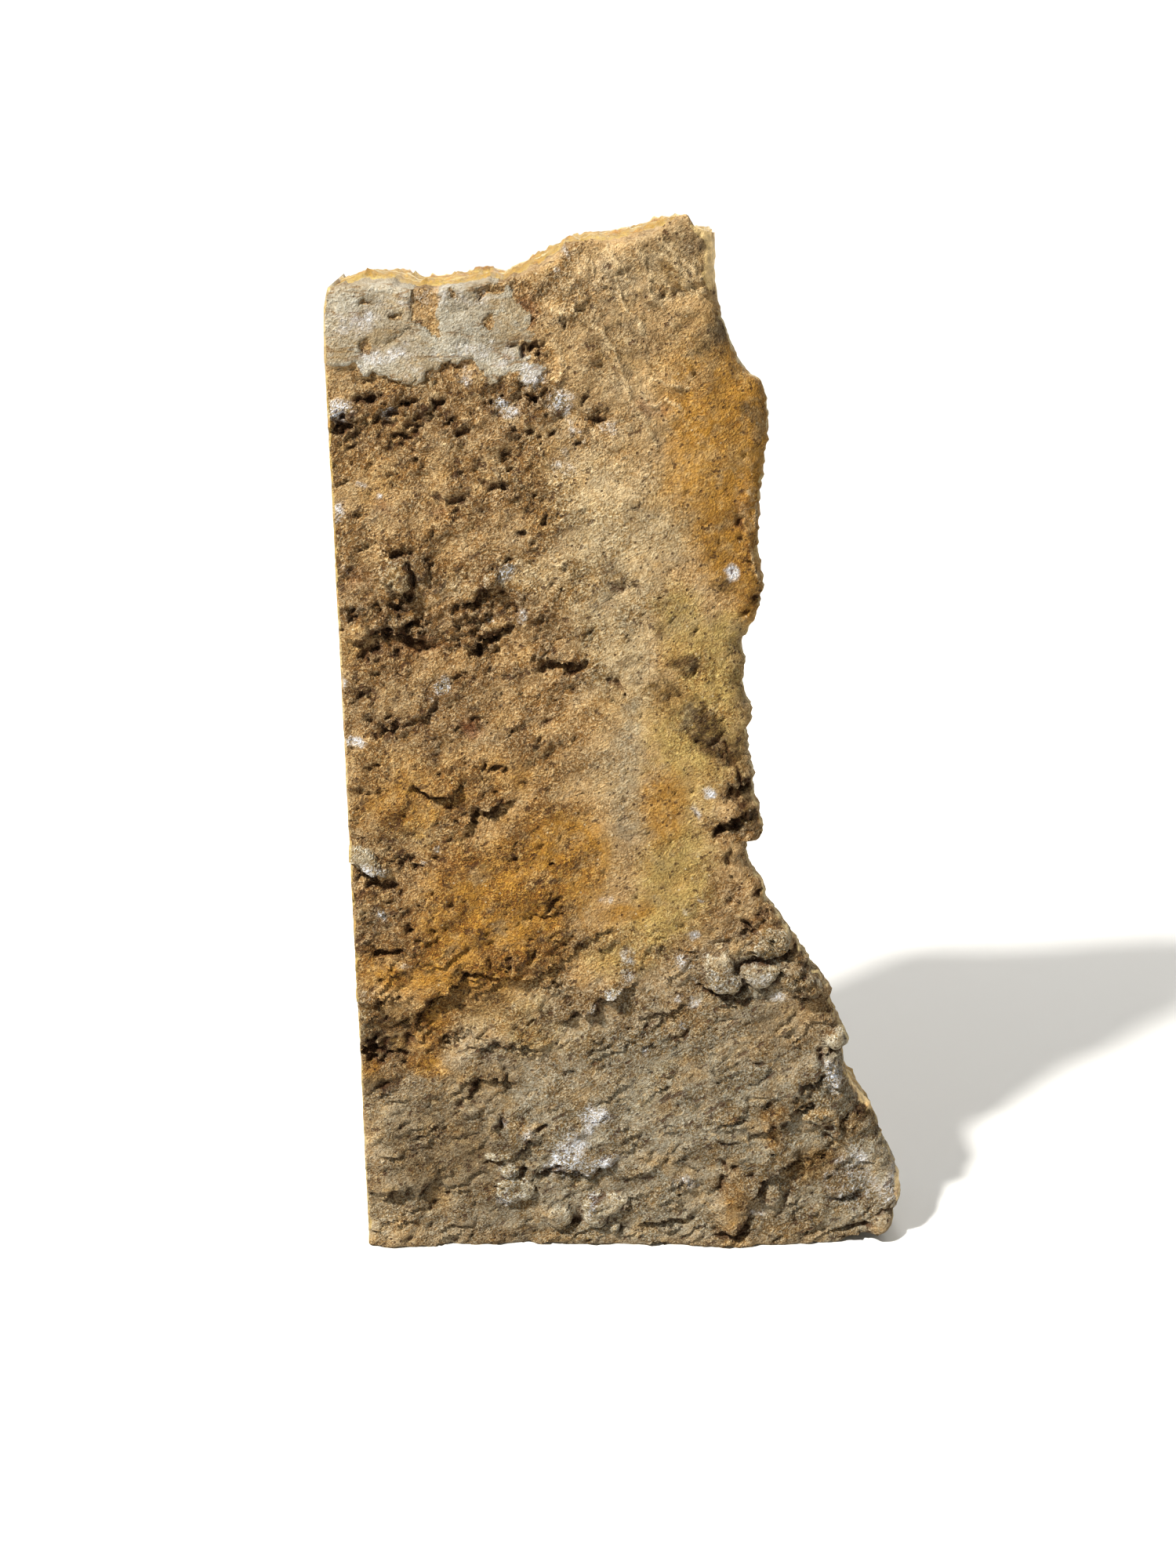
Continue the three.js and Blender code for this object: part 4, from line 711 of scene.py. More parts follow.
def rounded(points):
    """A smooth curve through the points of an outline."""
    padded = np.vstack([2 * points[0] - points[1], points, 2 * points[-1] - points[-2]])
    t = np.linspace(0, 1, CURVE_STEPS, endpoint=False)[:, None]
    pieces = []
    for a, b, c, d in zip(padded[:-3], padded[1:-2], padded[2:-1], padded[3:]):
        bend = 2 * a - 5 * b + 4 * c - d + t * (3 * b - a - 3 * c + d)
        pieces.append(b + 0.5 * t * (c - a + t * bend))
    return np.vstack(pieces + [points[-1:]])


def spaced_points(points, count):
    """Points evenly spaced along an outline."""
    lengths = distance_along(points)
    wanted = np.linspace(0, lengths[-1], count + 1)
    return np.stack([np.interp(wanted, lengths, points[:, axis]) for axis in (0, 1)], 1)


# ---- Relief of the clay ----

def shingles(x, z):
    """Overlapping clay scales that step down to the lower right."""
    along, across = turned(x, z, math.cos(GRAIN_TURN), math.sin(GRAIN_TURN))
    phase = across / SHINGLE_STEP
    phase = phase + 1.3 * noise(along / 9, across / 7, 41) + 0.6 * noise(x / 2.6, z / 2.6, 43)
    patches = smooth_step(-0.05, 0.3, noise(along / 8, across / 5, 47))
    return patches * (0.7 - (phase - np.floor(phase)))


def clods(x, z):
    """Crumbled clay: lumps of three sizes with gaps between them."""
    height = np.zeros(x.shape)
    for size, amount, seed in CLODS:
        bend_x = 0.35 * noise(x / size * 1.7, z / size * 1.7, seed + 1)
        bend_z = 0.35 * noise(x / size * 1.7, z / size * 1.7, seed + 2)
        first, second, away_x, away_z, pick, tilt = cells(x / size + bend_x, z / size + bend_z, seed)
        dome = (0.3 + 0.7 * pick) * (1.1 - 1.1 * first) + 0.9 * (tilt - 0.5) * (away_x - away_z)
        gap = 1 - smooth_step(0, 0.12, second - first)
        height += amount * (dome - 0.35 - 0.25 * gap)
    return height


def clay_masks(x, z, skin):
    """Where the clay is crumbly, creased, rough, and in the lower or the left part, and a mask of
    random patches."""
    grain_x, grain_z = turned(x, z, *CLAY_GRAIN)
    patchy = noise(grain_x / 10, grain_z / 6, 33) + 0.5 * noise(x / 4, z / 4, 34)
    patchy = smooth_step(-0.25, 0.25, patchy)
    crumbly = np.clip(sum(blob(spot, x, z) for spot in CRUMBLY), 0, 1.4) * (0.45 + 0.75 * patchy)
    crumbly *= 1 - 0.92 * skin
    creased = zone(CREASED, x, z) * (1 - skin)
    lower = 1 - smooth_step(74, 92, z + 6 * noise(x / 14, z / 14, 9))
    left = 1 - smooth_step(44, 60, x)
    rough = (0.22 + 0.4 * left * (1 - lower) + 0.25 * lower) * (0.5 + patchy) * (1 - 0.85 * skin)
    return crumbly, creased, rough, lower, left, patchy


def clay_texture(x, z, warp_x, warp_z, skin, parts):
    """Fine relief of the clay: clods, scales, ripples, folds and small holes."""
    crumbly, creased, rough, lower, left, patchy = parts
    grain_x, grain_z = turned(x, z, *CLAY_GRAIN)
    height = crumbly * clods(x, z) + (1.0 * lower + 0.12) * shingles(x, z) * (1 - skin)
    ripples = 0.6 * noise(grain_x / 4.2, grain_z / 2.6, 12)
    height += rough * (ripples + 0.9 * np.abs(noise(grain_x / 2.1, grain_z / 1.4, 14)))
    fold_x, fold_z = turned(warp_x, warp_z, *FOLD_GRAIN)
    folds = 1.5 * np.abs(noise(fold_x / 5.4, fold_z / 3.2, 19))
    height += creased * (0.5 - folds - np.abs(noise(fold_x / 2.4, fold_z / 1.6, 20)))
    hole = noise(grain_x / 3.4, grain_z / 2.3, 61) + 0.6 * noise(grain_x / 1.5, grain_z / 1.2, 62)
    density = 0.5 * np.clip(crumbly, 0, 1) + (0.3 * left * (1 - lower) + 0.2 * lower) * patchy
    holes = smooth_step(0.5, 0.68, hole + 0.35 * density)
    return height - (0.6 + 0.5 * crumbly) * holes * (1 - skin)


# ---- Ledges, plates, skin, veins and crevices of the front ----

def ledge_relief(x, z):
    """Steps at the ledges: proud above each one, and fallen below it."""
    height = np.zeros(x.shape)
    for path, rise, fall, reach in LEDGES:
        distance, side, along = measure_path(path, x, z)
        fade = np.sqrt(np.maximum(np.sin(math.pi * along), 0)) * np.exp(-distance / reach)
        height += np.where(side > 0, rise, -fall) * fade
    return height


def plate_relief(x, z):
    """Height of the plates and nodules, how pale their faces are, and the painted highlight along their
    rims.
    """
    height, face, rim = (np.zeros(x.shape) for _ in range(3))
    for outline, rise, rim_width, pale in PLATES:
        inside = inside_outline(outline, x, z)
        dome = 0.35 * smooth_step(0, 2 * rim_width, inside)
        height += rise * (0.95 * smooth_step(-0.2, 0.45, inside) + dome)
        face = np.maximum(face, pale * smooth_step(-0.2, 0.3, inside))
        # A pale band just inside the edge: a painted highlight along the rim.
        edge = smooth_step(-0.2, 0.2, inside) * (1 - smooth_step(0.3, 1.1, inside))
        rim = np.maximum(rim, pale * edge)
    return height, face, rim


def skin_cover(x, z, warp_x, warp_z):
    """1 where the smooth grey skin is left, and 0 where the clay shows."""
    inside = inside_outline(SKIN, warp_x, warp_z)
    for window in SKIN_WINDOWS:
        inside = np.minimum(inside, -inside_outline(window, warp_x, warp_z))
    inside += 0.8 * noise(x / 2.1, z / 1.3, 51) + 0.5 * noise(x / 0.9, z / 0.8, 52)
    inside -= smooth_step(31, 43, x) * (0.5 + 2.4 * noise(x / 3.2, z / 1.5, 53))
    return smooth_step(-0.25, 0.3, inside)


def vein_cover(x, z, warp_x, warp_z):
    """1 on the pale veins, which vary in width, and 0 away from them."""
    vein = np.zeros(x.shape)
    swell = 1.3 + noise(x / 1.9, z / 1.9, 17)
    for path, half_width in VEINS:
        distance, _, _ = measure_path(path, warp_x, warp_z)
        vein = np.maximum(vein, np.exp(-(distance / (half_width * swell)) ** 2))
    return vein


def crevice_depth(x, z, warp_x, warp_z):
    """How deep the crevices, cracks and pits are, with ragged sides and broken runs."""
    sunk = np.zeros(x.shape)
    clump = 1.1 * smooth_step(-0.3, 0.2, noise(x / 1.7, z / 1.4, 10))
    sides = 1.15 + 1.5 * noise(x / 1.5, z / 1.5, 8)
    for path, half_width, depth in CREVICES:
        if len(path) == 1:
            distance, along = np.hypot(warp_x - path[0][0], warp_z - path[0][1]), 0.5
        else:
            distance, _, along = measure_path(path, warp_x, warp_z)
        taper = 0.35 + 0.65 * np.sqrt(np.sin(math.pi * np.clip(along, 0, 1)))
        taper *= 1 + (clump - 1) * min(half_width, 0.9)
        reach = np.maximum(half_width * sides * 1.25, 0.2)
        sunk = np.maximum(sunk, depth * taper * np.exp(-(distance / reach) ** 3))
    return sunk


def corner_break(x, z):
    """How far a point lies beyond the line along which the upper right corner broke off."""
    start, end = CORNER_LINE
    line_x, line_z = end[0] - start[0], end[1] - start[1]
    beyond = ((z - start[1]) * line_x - (x - start[0]) * line_z) / math.hypot(line_x, line_z)
    return np.maximum(beyond + 0.6 * noise(x / 2.2, z / 2.2, 97), 0)


def edge_roll(distance, radius):
    """How far a rounded edge falls back, at a distance inside it."""
    inside = np.clip(radius - distance, 0, radius)
    return np.sqrt(radius ** 2 - inside ** 2) - radius


def blurred(grid, reach):
    """Mean of a grid over a square of neighbours."""
    width = 2 * reach + 1
    for axis in (0, 1):
        length = grid.shape[axis]
        padded = np.pad(grid, [(reach + 1, reach) if a == axis else (0, 0) for a in (0, 1)], "edge")
        total = np.cumsum(padded, axis)
        high = np.take(total, range(width, width + length), axis)
        grid = (high - np.take(total, range(length), axis)) / width
    return grid


def front_relief(x, z, from_right, from_top):
    """How far the front stands proud of its mean plane, how much of that comes from plates and
    ledges, and the masks for the finish."""
    warp_x, warp_z = wandered(x, z, WANDER)
    skin = skin_cover(x, z, warp_x, warp_z)
    vein = vein_cover(x, z, warp_x, warp_z)
    sunk = crevice_depth(x, z, warp_x, warp_z)
    broken = corner_break(x, z)
    parts = clay_masks(x, z, skin)
    crumbly, creased, rough, _, left, _ = parts

    layered, plate, plate_rim_highlight = plate_relief(*wandered(x, z, PLATE_WANDER))
    layered += ledge_relief(warp_x, warp_z)
    layered += sum(0.8 * smooth_step(-0.1, 0.5, inside_outline(outline, x, z)) for outline in FRAGMENTS)
    layered += SKIN_RISE * skin * (1 - 0.7 * smooth_step(30, 41, x))

    form = sum(blob(spot, x, z) for spot in BROAD_FORM)
    form += 0.55 * noise(x / 9, z / 9, 5) + 0.35 * noise(x / 4.2, z / 4.2, 6)
    grain_x, grain_z = turned(x, z, *CLAY_GRAIN)
    form += (0.4 + 0.4 * left) * noise(grain_x / 13, grain_z / 6, 31) * (1 - skin)

    detail = layered + clay_texture(x, z, warp_x, warp_z, skin, parts) + 0.5 * vein - sunk
    height = form + detail + edge_roll(from_right, RIGHT_ROLL) + edge_roll(from_top, TOP_ROLL)
    height -= np.minimum(CORNER_SLOPE * broken, CORNER_DEPTH)
    masks = {name: zone(spots, warp_x, warp_z) for name, spots in COLOUR_ZONES.items()}
    masks.update({
        "skin": skin,
        "vein": vein,
        "creased": creased,
        "bare": zone(BARE, x, z),
        "plate": plate,
        # Painted highlight along the plates' rims.
        "plate_rim_highlight": plate_rim_highlight,
        "crumbly": np.clip(crumbly, 0, 1),
        "rough": np.clip(rough + 0.5 * crumbly, 0, 1),
        # The crevice depth and the hollows of the relief also darken the rind's colour as painted shade.
        "sunk": np.clip(sunk / 1.4, 0, 1),
        "hollow_shade": np.clip((blurred(detail, 4) - detail) / 1.1, 0, 1),
        "behind": CORNER_SHOWS * broken,
    })
    return height, layered, masks


# ---- The broken and sawn sides ----

def read_profile(profile, position):
    """A profile's value at a position, on straight lines between its points."""
    return np.interp(position, [place for place, _ in profile], [value for _, value in profile])


def fracture(along, depth):
    """Scalloped facets of broken calcite, about -1 to 1 mm."""
    height = np.zeros(along.shape)
    for size, amount, seed in SCALLOPS:
        bend = 0.4 * noise(along / size, depth / size, seed + 1)
        first, _, away_along, away_depth, pick, tilt = cells(along / size + bend, depth / size - bend, seed)
        height += amount * (first ** 2 - 0.3 + (pick - 0.5) * away_along + (tilt - 0.5) * away_depth)
    return height


def side_offset(side, x, z, along, depth, part):
    """How far a side lies outside the outline of the front, at a depth behind it."""
    rough = fracture(along, depth)
    top = (read_profile(TOP_CREST, x) + 0.8 * rough) * math.sin(min(part * 4, 1) * math.pi / 2)
    right = 0.9 * rough * math.sin(math.pi * min(part * 0.75, 1)) * smooth_step(3, 14, z)
    right -= read_profile(RIGHT_INSET, z) * part
    return np.where(side == TOP, top, np.where(side == RIGHT, right, 0))


# ---- The closed mesh ----

def stretched_grid(foot, right, top, left):
    """Grid points stretched evenly between four edges that meet at the corners."""
    u = np.linspace(0, 1, COLUMNS + 1)[None, :, None]
    v = np.linspace(0, 1, ROWS + 1)[:, None, None]
    across = foot[None] * (1 - v) + top[None] * v
    upward = left[:, None] * (1 - u) + right[:, None] * u
    corners = (foot[0] * (1 - u) + foot[-1] * u) * (1 - v) + (top[0] * (1 - u) + top[-1] * u) * v
    return across + upward - corners


def ragged_edge(points, amount, seed):
    """Shifts an edge's points sideways by small-scale noise that fades out at its ends, and all of them by
    a small steady amount.
    """
    along = distance_along(points)
    tangent = np.gradient(points, axis=0)
    tangent /= np.hypot(tangent[:, 0], tangent[:, 1])[:, None]
    shift = amount * (noise(along / 2.6, along * 0, seed) + 0.6 * noise(along / 1.1, along * 0, seed + 1))
    shift *= np.sin(np.linspace(0, math.pi, len(points))) ** 0.25
    return points + np.stack([tangent[:, 1], -tangent[:, 0]], 1) * (shift - 0.3 * amount)[:, None]


def front_points():
    """Places of the front's grid, in slab coordinates, with the finish masks there."""
    foot = np.stack([np.linspace(0, FOOT_LENGTH, COLUMNS + 1), np.zeros(COLUMNS + 1)], 1)
    left = spaced_points(np.array(LEFT_EDGE), ROWS)
    right = ragged_edge(spaced_points(rounded(np.array(RIGHT_EDGE)), ROWS), 0.9, 101)
    top = ragged_edge(spaced_points(rounded(np.array(TOP_EDGE)), COLUMNS), 0.5, 107)
    grid = stretched_grid(foot, right, top, left)
    x, z = grid[..., 0], grid[..., 1]
    beside_corner = smooth_step(0.9, 1, np.linspace(0, 1, COLUMNS + 1))[None, :]
    from_top = (top[None, :, 1] - z) * (1 - beside_corner) + TOP_ROLL * beside_corner
    from_right = right[:, None, 0] - x
    from_left = x - left[:, None, 0]
    height, layered, masks = front_relief(x, z, from_right, from_top)
    eased = PROUD + PROUD_SPAN * np.tanh((height - PROUD) / PROUD_SPAN)
    height = np.where(height > PROUD, eased, height)
    chips = 0.6 + 0.6 * noise(x / 3, z / 3, 111)
    height += (edge_roll(from_left, LEFT_ROLL) + edge_roll(z, FOOT_ROLL)) * chips
    masks["left_edge"] = 1 - smooth_step(0.25, 0.9, from_left + 0.5 * noise(x / 2, z / 3, 113))
    masks["right_edge"] = 1 - smooth_step(0.4, 1.6, from_right + 0.8 * noise(x / 2, z / 2, 115))
    lean = LEAN * layered * smooth_step(0, 4, np.minimum(from_left, from_right))
    fall = lean * smooth_step(0, 4, z) * smooth_step(0, 4, from_top)
    return np.stack([x + lean, -height, np.maximum(z - fall, 0)], -1), masks


def grid_numbers():
    """The number of each point of the front's grid."""
    return np.arange((ROWS + 1) * (COLUMNS + 1)).reshape(ROWS + 1, COLUMNS + 1)


def rim_walk():
    """Grid numbers round the rim, anticlockwise from the front, and the side each one starts."""
    number = grid_numbers()
    walks = [number[0, :-1], number[:-1, -1], number[-1, :0:-1], number[:0:-1, 0]]
    return np.concatenate(walks), np.repeat([FOOT, RIGHT, TOP, LEFT], [len(walk) for walk in walks])


def rim_directions(start, side):
    """The direction square to the rim at each of its points, seen from the front and smoothed over
    the neighbours, and how far along the rim each point lies."""
    step = np.roll(start, -1, 0) - np.roll(start, 1, 0)
    square = np.stack([step[:, 2], -step[:, 0]], 1)
    outward = sum(np.roll(square, shift, 0) for shift in range(-RIM_SMOOTHING, RIM_SMOOTHING + 1))
    outward /= np.hypot(outward[:, 0], outward[:, 1])[:, None]
    outward[side == TOP] = (0, 1)
    return outward, np.concatenate([[0], np.cumsum(np.hypot(step[:-1, 0], step[:-1, 2]) / 2)])


def slab_points(rim, side):
    """Points and finish masks of the front, and then of each ring from its rim to the back."""
    front, masks = front_points()
    on_front = {name: values.ravel() for name, values in masks.items()}
    on_front["sawn"] = np.zeros(front[..., 0].size)
    points, finish = [front.reshape(-1, 3)], [on_front]
    start = points[0][rim]
    outward, along = rim_directions(start, side)
    for k in range(1, SIDE_STEPS + 1):
        part = (k / SIDE_STEPS) ** 1.3
        y = start[:, 1] * (1 - part) + SLAB_DEPTH * part
        offset = side_offset(side, start[:, 0], start[:, 2], along, y, part)
        ring = np.stack([start[:, 0] + outward[:, 0] * offset, y, start[:, 2] + outward[:, 1] * offset], 1)
        ring[:, 2] = np.maximum(ring[:, 2], 0)
        points.append(ring)
        last = k == SIDE_STEPS
        values = {name: values[rim] * (not last) for name, values in on_front.items()}
        values["behind"] = on_front["behind"][rim] * (1 - part) + y * part
        values["bare"] = np.zeros(len(rim))
        values["sawn"] = np.where(last | (side == FOOT) | (side == LEFT), 1.0, 0.0)
        finish.append(values)
    return np.concatenate(points), {name: np.concatenate([f[name] for f in finish]) for name in on_front}


def strip_place(side, along, part):
    """Where the four sides lie in the texture map, each as a strip of its own."""
    left, low, width, height = np.array(MAP_STRIPS)[side].T
    return np.stack([left + width * along, low + height * part], -1)


def texture_places(flat, quads, walls, back, side):
    """Places in the texture map: the front on the left, the back and the sides on the right."""
    low = flat.min(0)
    front_map = MAP_MARGIN + (flat[quads] - low) / FRONT_MAP_SPAN
    back_map = (MAP_RIGHT, MAP_MARGIN) + (flat[back] - low) / BACK_MAP_SPAN
    place = np.arange(len(side)) - np.searchsorted(side, side)
    length = np.bincount(side)[side]
    begin, end = place / length, (place + 1) / length
    parts = np.linspace(0, 1, SIDE_STEPS + 1)
    corners = ((begin, 0), (begin, 1), (end, 1), (end, 0))
    wall_map = [
        np.stack([strip_place(side, along, parts[k + deeper]) for along, deeper in corners], 1)
        for k in range(SIDE_STEPS)
    ]
    return np.concatenate([front_map.reshape(-1, 2), np.reshape(wall_map, (-1, 2)), back_map])


def to_row_frame(points):
    """Slab coordinates to the row frame: the CAD box's left side, back and foot are the slab's."""
    low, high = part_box("onyx_slab")
    origin = np.array([low[0] + SIDE_LEAN * METRES, high[1] - SLAB_DEPTH * METRES, low[2]])
    return points * METRES + origin


def slab_mesh():
    """The whole slab as one closed mesh, with its finish masks and a texture map."""
    rim, side = rim_walk()
    vertices, finish = slab_points(rim, side)
    number = grid_numbers()
    quads = np.stack([number[:-1, :-1], number[:-1, 1:], number[1:, 1:], number[1:, :-1]], -1)
    quads = quads.reshape(-1, 4)
    ring_numbers = number.size + np.arange(len(rim) * SIDE_STEPS).reshape(SIDE_STEPS, len(rim))
    rings = np.vstack([rim, ring_numbers])
    after = np.roll(rings, -1, 1)
    walls = np.stack([rings[:-1], rings[1:], after[1:], after[:-1]], -1).reshape(-1, 4)
    back = rings[-1][::-1]

    mesh = bpy.data.meshes.new("onyx_specimen")
    mesh.from_pydata(to_row_frame(vertices), [], quads.tolist() + walls.tolist() + [back.tolist()])
    mesh.polygons.foreach_set("use_smooth", [True] * (len(quads) + len(walls)) + [False])
    texture = mesh.uv_layers.new(name="OFBake")
    places = texture_places(vertices[:, [0, 2]], quads, walls, back, side)
    texture.data.foreach_set("uv", places.ravel())
    for name, values in finish.items():
        mesh.attributes.new(name, "FLOAT", "POINT").data.foreach_set("value", values.astype(np.float32))
    mesh.set_sharp_from_angle(angle=math.radians(SHARP_ANGLE))
    return mesh


# ---- Finish: paints are the colours (0 to 255) that show in full light ----

ALBEDO = (0.62, 0.64, 0.665)  # a surface's share of each primary that shows as full white
RIDGE_TURN = math.radians(140)
BUMP_DEPTH = 1.6

# Zones of the clay: (mask, paint, where the zone starts, where it is full).
CLAY_ZONES = (
    ("crumbly", (186, 158, 120), 0.1, 0.9),
    ("pale", (200, 180, 144), 0.15, 0.85),
    ("grey", (168, 160, 142), 0.15, 0.85),
    ("olive", (190, 165, 104), 0.2, 0.85),
    ("ochre", (182, 137, 58), 0.2, 0.8),
    ("umber", (134, 114, 82), 0.2, 1.0),
    ("rust", (164, 118, 80), 0.2, 0.95),
)
# Mottle of the clay: (size of the patches, paint).
CLAY_MOTTLE = (
    (8.5, (198, 160, 96)), (6.1, (158, 146, 124)), (2.3, (206, 178, 130)), (1.7, (138, 112, 78)),
)
# Painted shade in the crevices and hollows: (mask, where the painted shade starts, where it is full,
# strength).
PAINTED_SHADE_MASKS = (("sunk", 0.2, 0.9, 0.75), ("hollow_shade", 0.35, 1.0, 0.6))
PAINTS = {
    "clay": (188, 158, 114),
    "light_clay": (200, 172, 130),
    "stain": (92, 70, 28),
    "plate": (184, 176, 156),
    # Painted highlight on the plates' rims.
    "plate_rim_highlight": (222, 214, 194),
    "vein": (216, 192, 152),
    "bloom": (226, 228, 235),
    "grain": (216, 198, 166),
    # Painted shade for the pits, crevices and hollows.
    "hollow_shade": (76, 40, 8),
    "skin": (184, 178, 163),
    "dull_skin": (167, 155, 133),
    "skin_streak": (132, 104, 66),
    "skin_flake": (168, 146, 108),
    # Orange painted shade for the broken calcite's scalloped hollows, laid in random patches.
    "calcite_painted_shade": (158, 102, 28),
}
# Bands of the calcite: (place in the repeat, paint).
CALCITE_BANDS = (
    (0.0, (206, 184, 132)), (0.08, (190, 162, 94)), (0.2, (178, 144, 66)), (0.33, (166, 126, 48)),
    (0.38, (204, 180, 124)), (0.42, (184, 150, 78)), (0.56, (176, 138, 60)), (0.63, (210, 192, 148)),
    (0.67, (172, 132, 54)), (0.8, (186, 156, 86)), (0.88, (156, 108, 42)), (0.95, (200, 174, 118)),
)
BAND_REPEAT = 30
# Painted shade for the low grit and painted light for the high grit.
GRIT_PAINTED_SHADE = (0.45, 0.32, 0.15, 1)
GRIT_PAINTED_LIGHT = (1.08, 1.08, 1.08, 1)
# Cream of the bare calcite, brightened past its own colour as painted light.
BARE_CALCITE_WITH_PAINTED_LIGHT = (0.88, 0.65, 0.33, 1)


def daylight(paint):
    """The finish that shows as this paint in full light."""
    def to_linear(value):
        share = value / 255
        return share / 12.92 if share <= 0.04045 else ((share + 0.055) / 1.055) ** 2.4
    return (*[to_linear(value) * share for value, share in zip(paint, ALBEDO)], 1.0)


class Shader:
    """Short names for the nodes of one material. Sizes are in millimetres."""

    def __init__(self, name):
        self.material = bpy.data.materials.new(name)
        self.material.use_nodes = True
        self.tree = self.material.node_tree
        self.tree.nodes.clear()
        self.place = self.node("ShaderNodeTexCoord").outputs["Object"]

    def node(self, kind, inputs=(), **settings):
        node = self.tree.nodes.new(kind)
        for name, value in settings.items():
            setattr(node, name, value)
        for name, value in dict(inputs).items():
            if isinstance(value, bpy.types.NodeSocket):
                self.tree.links.new(value, node.inputs[name])
            else:
                node.inputs[name].default_value = value
        return node

    def maths(self, operation, first, second=0.0):
        return self.node("ShaderNodeMath", {0: first, 1: second}, operation=operation).outputs[0]

    def add(self, first, *others):
        for other in others:
            first = self.maths("ADD", first, other)
        return first

    def times(self, first, *others):
        for other in others:
            first = self.maths("MULTIPLY", first, other)
        return first

    def larger(self, first, second):
        return self.maths("MAXIMUM", first, second)

    def step(self, value, low, high, start=0.0, end=1.0):
        """A smooth climb from the start to the end as the value goes from low to high."""
        sockets = {"Value": value, "From Min": low, "From Max": high, "To Min": start, "To Max": end}
        return self.node("ShaderNodeMapRange", sockets, interpolation_type="SMOOTHSTEP").outputs["Result"]

    def mix(self, factor, under, over, blend="MIX"):
        sockets = {0: factor, 6: under, 7: over}
        return self.node("ShaderNodeMix", sockets, data_type="RGBA", blend_type=blend).outputs[2]

    def lay(self, cover, under, name):
        """Lays one of the named paints over a colour, as far as the cover goes."""
        return self.mix(cover, under, daylight(PAINTS[name]))

    def turned(self, stretch, turn):
        """Coordinates stretched along a line that climbs at this angle."""
        sockets = {"Vector": self.place, "Rotation": (0, -turn, 0), "Scale": (stretch, 1, 1)}
        return self.node("ShaderNodeMapping", sockets, vector_type="TEXTURE").outputs[0]

    def noise(self, size, detail=2, roughness=0.5, stretch=1.0, turn=GRAIN_TURN):
        """Noise that swings about zero, stretched along the clay's grain or another line."""
        sockets = {"Scale": 1000 / size, "Detail": detail, "Roughness": roughness}
        node = self.node("ShaderNodeTexNoise", {"Vector": self.turned(stretch, turn), **sockets})
        return self.add(node.outputs["Fac"], -0.5)

    def creases(self, *settings):
        """Noise that is zero along thin winding lines and rises on both sides of them."""
        return self.maths("ABSOLUTE", self.noise(*settings))

    def cells(self, size, stretch=1.0):
        """Random cells: distance to the nearest point, and a random number for the cell."""
        sockets = {"Vector": self.turned(stretch, GRAIN_TURN), "Scale": 1000 / size}
        cell = self.node("ShaderNodeTexVoronoi", sockets)
        pick = self.node("ShaderNodeSeparateColor", {"Color": cell.outputs["Color"]})
        return cell.outputs["Distance"], pick.outputs["Red"]

    def specks(self, size, radius, share):
        """Scattered dots, 1 inside each: this share of the cells has a dot of this radius."""
        distance, pick = self.cells(size)
        dots = self.step(distance, radius * 0.6, radius, 1, 0)
        return self.times(dots, self.step(pick, share, share + 0.01, 1, 0))

    def mask(self, name):
        return self.node("ShaderNodeAttribute", attribute_name=name).outputs["Fac"]

    def masked(self, name, low, high, start=0.0, end=1.0):
        return self.step(self.mask(name), low, high, start, end)

    def ragged(self, name, wander, low, high, start=0.0, end=1.0):
        """A mask with its edge broken up by noise."""
        return self.step(self.add(self.mask(name), wander), low, high, start, end)

    def finish(self, **sockets):
        """Ends the material in one surface, and returns it."""
        inputs = {name.replace("_", " "): value for name, value in sockets.items()}
        body = self.node("ShaderNodeBsdfPrincipled", inputs)
        self.node("ShaderNodeOutputMaterial", {"Surface": body.outputs["BSDF"]})
        return self.material


def clay_colour(shader, coarse, wander):
    """The clay's zones of colour, the dark stains on them, and a mottle over both."""
    base = shader.step(coarse, -0.16, 0.16)
    colour = shader.lay(base, daylight(PAINTS["clay"]), "light_clay")
    for name, paint, low, high in CLAY_ZONES:
        part = shader.ragged(name, shader.times(wander, 0.9), low, high)
        colour = shader.mix(part, colour, daylight(paint))
    stain = shader.ragged("stain", shader.times(wander, 2.2), 0.2, 0.9)
    stain = shader.times(stain, shader.masked("stain", 0.02, 0.2, 0.25, 1))
    colour = shader.lay(stain, colour, "stain")
    for size, paint in CLAY_MOTTLE:
        patch = shader.step(shader.noise(size, 5, 0.65, 1.3), 0.0, 0.16, 0, 0.4)
        colour = shader.mix(patch, colour, daylight(paint))
    return colour


def skin_colour(shader, coarse):
    """The smooth skin: grey-cream, with brown patches and thin brown streaks across it."""
    dull = shader.step(coarse, -0.1, 0.1)
    colour = shader.lay(dull, daylight(PAINTS["skin"]), "dull_skin")
    streaks = shader.step(shader.creases(3.4, 3, 0.6, 5, 0.06), 0.0, 0.04, 1, 0)
    streaks = shader.times(streaks, shader.step(shader.noise(7, 2), -0.06, 0.06), 0.85)
    colour = shader.lay(streaks, colour, "skin_streak")
    flakes = shader.step(shader.noise(5, 5, 0.7, 2, 0.0), 0.02, 0.1, 0, 0.6)
    return shader.lay(flakes, colour, "skin_flake")


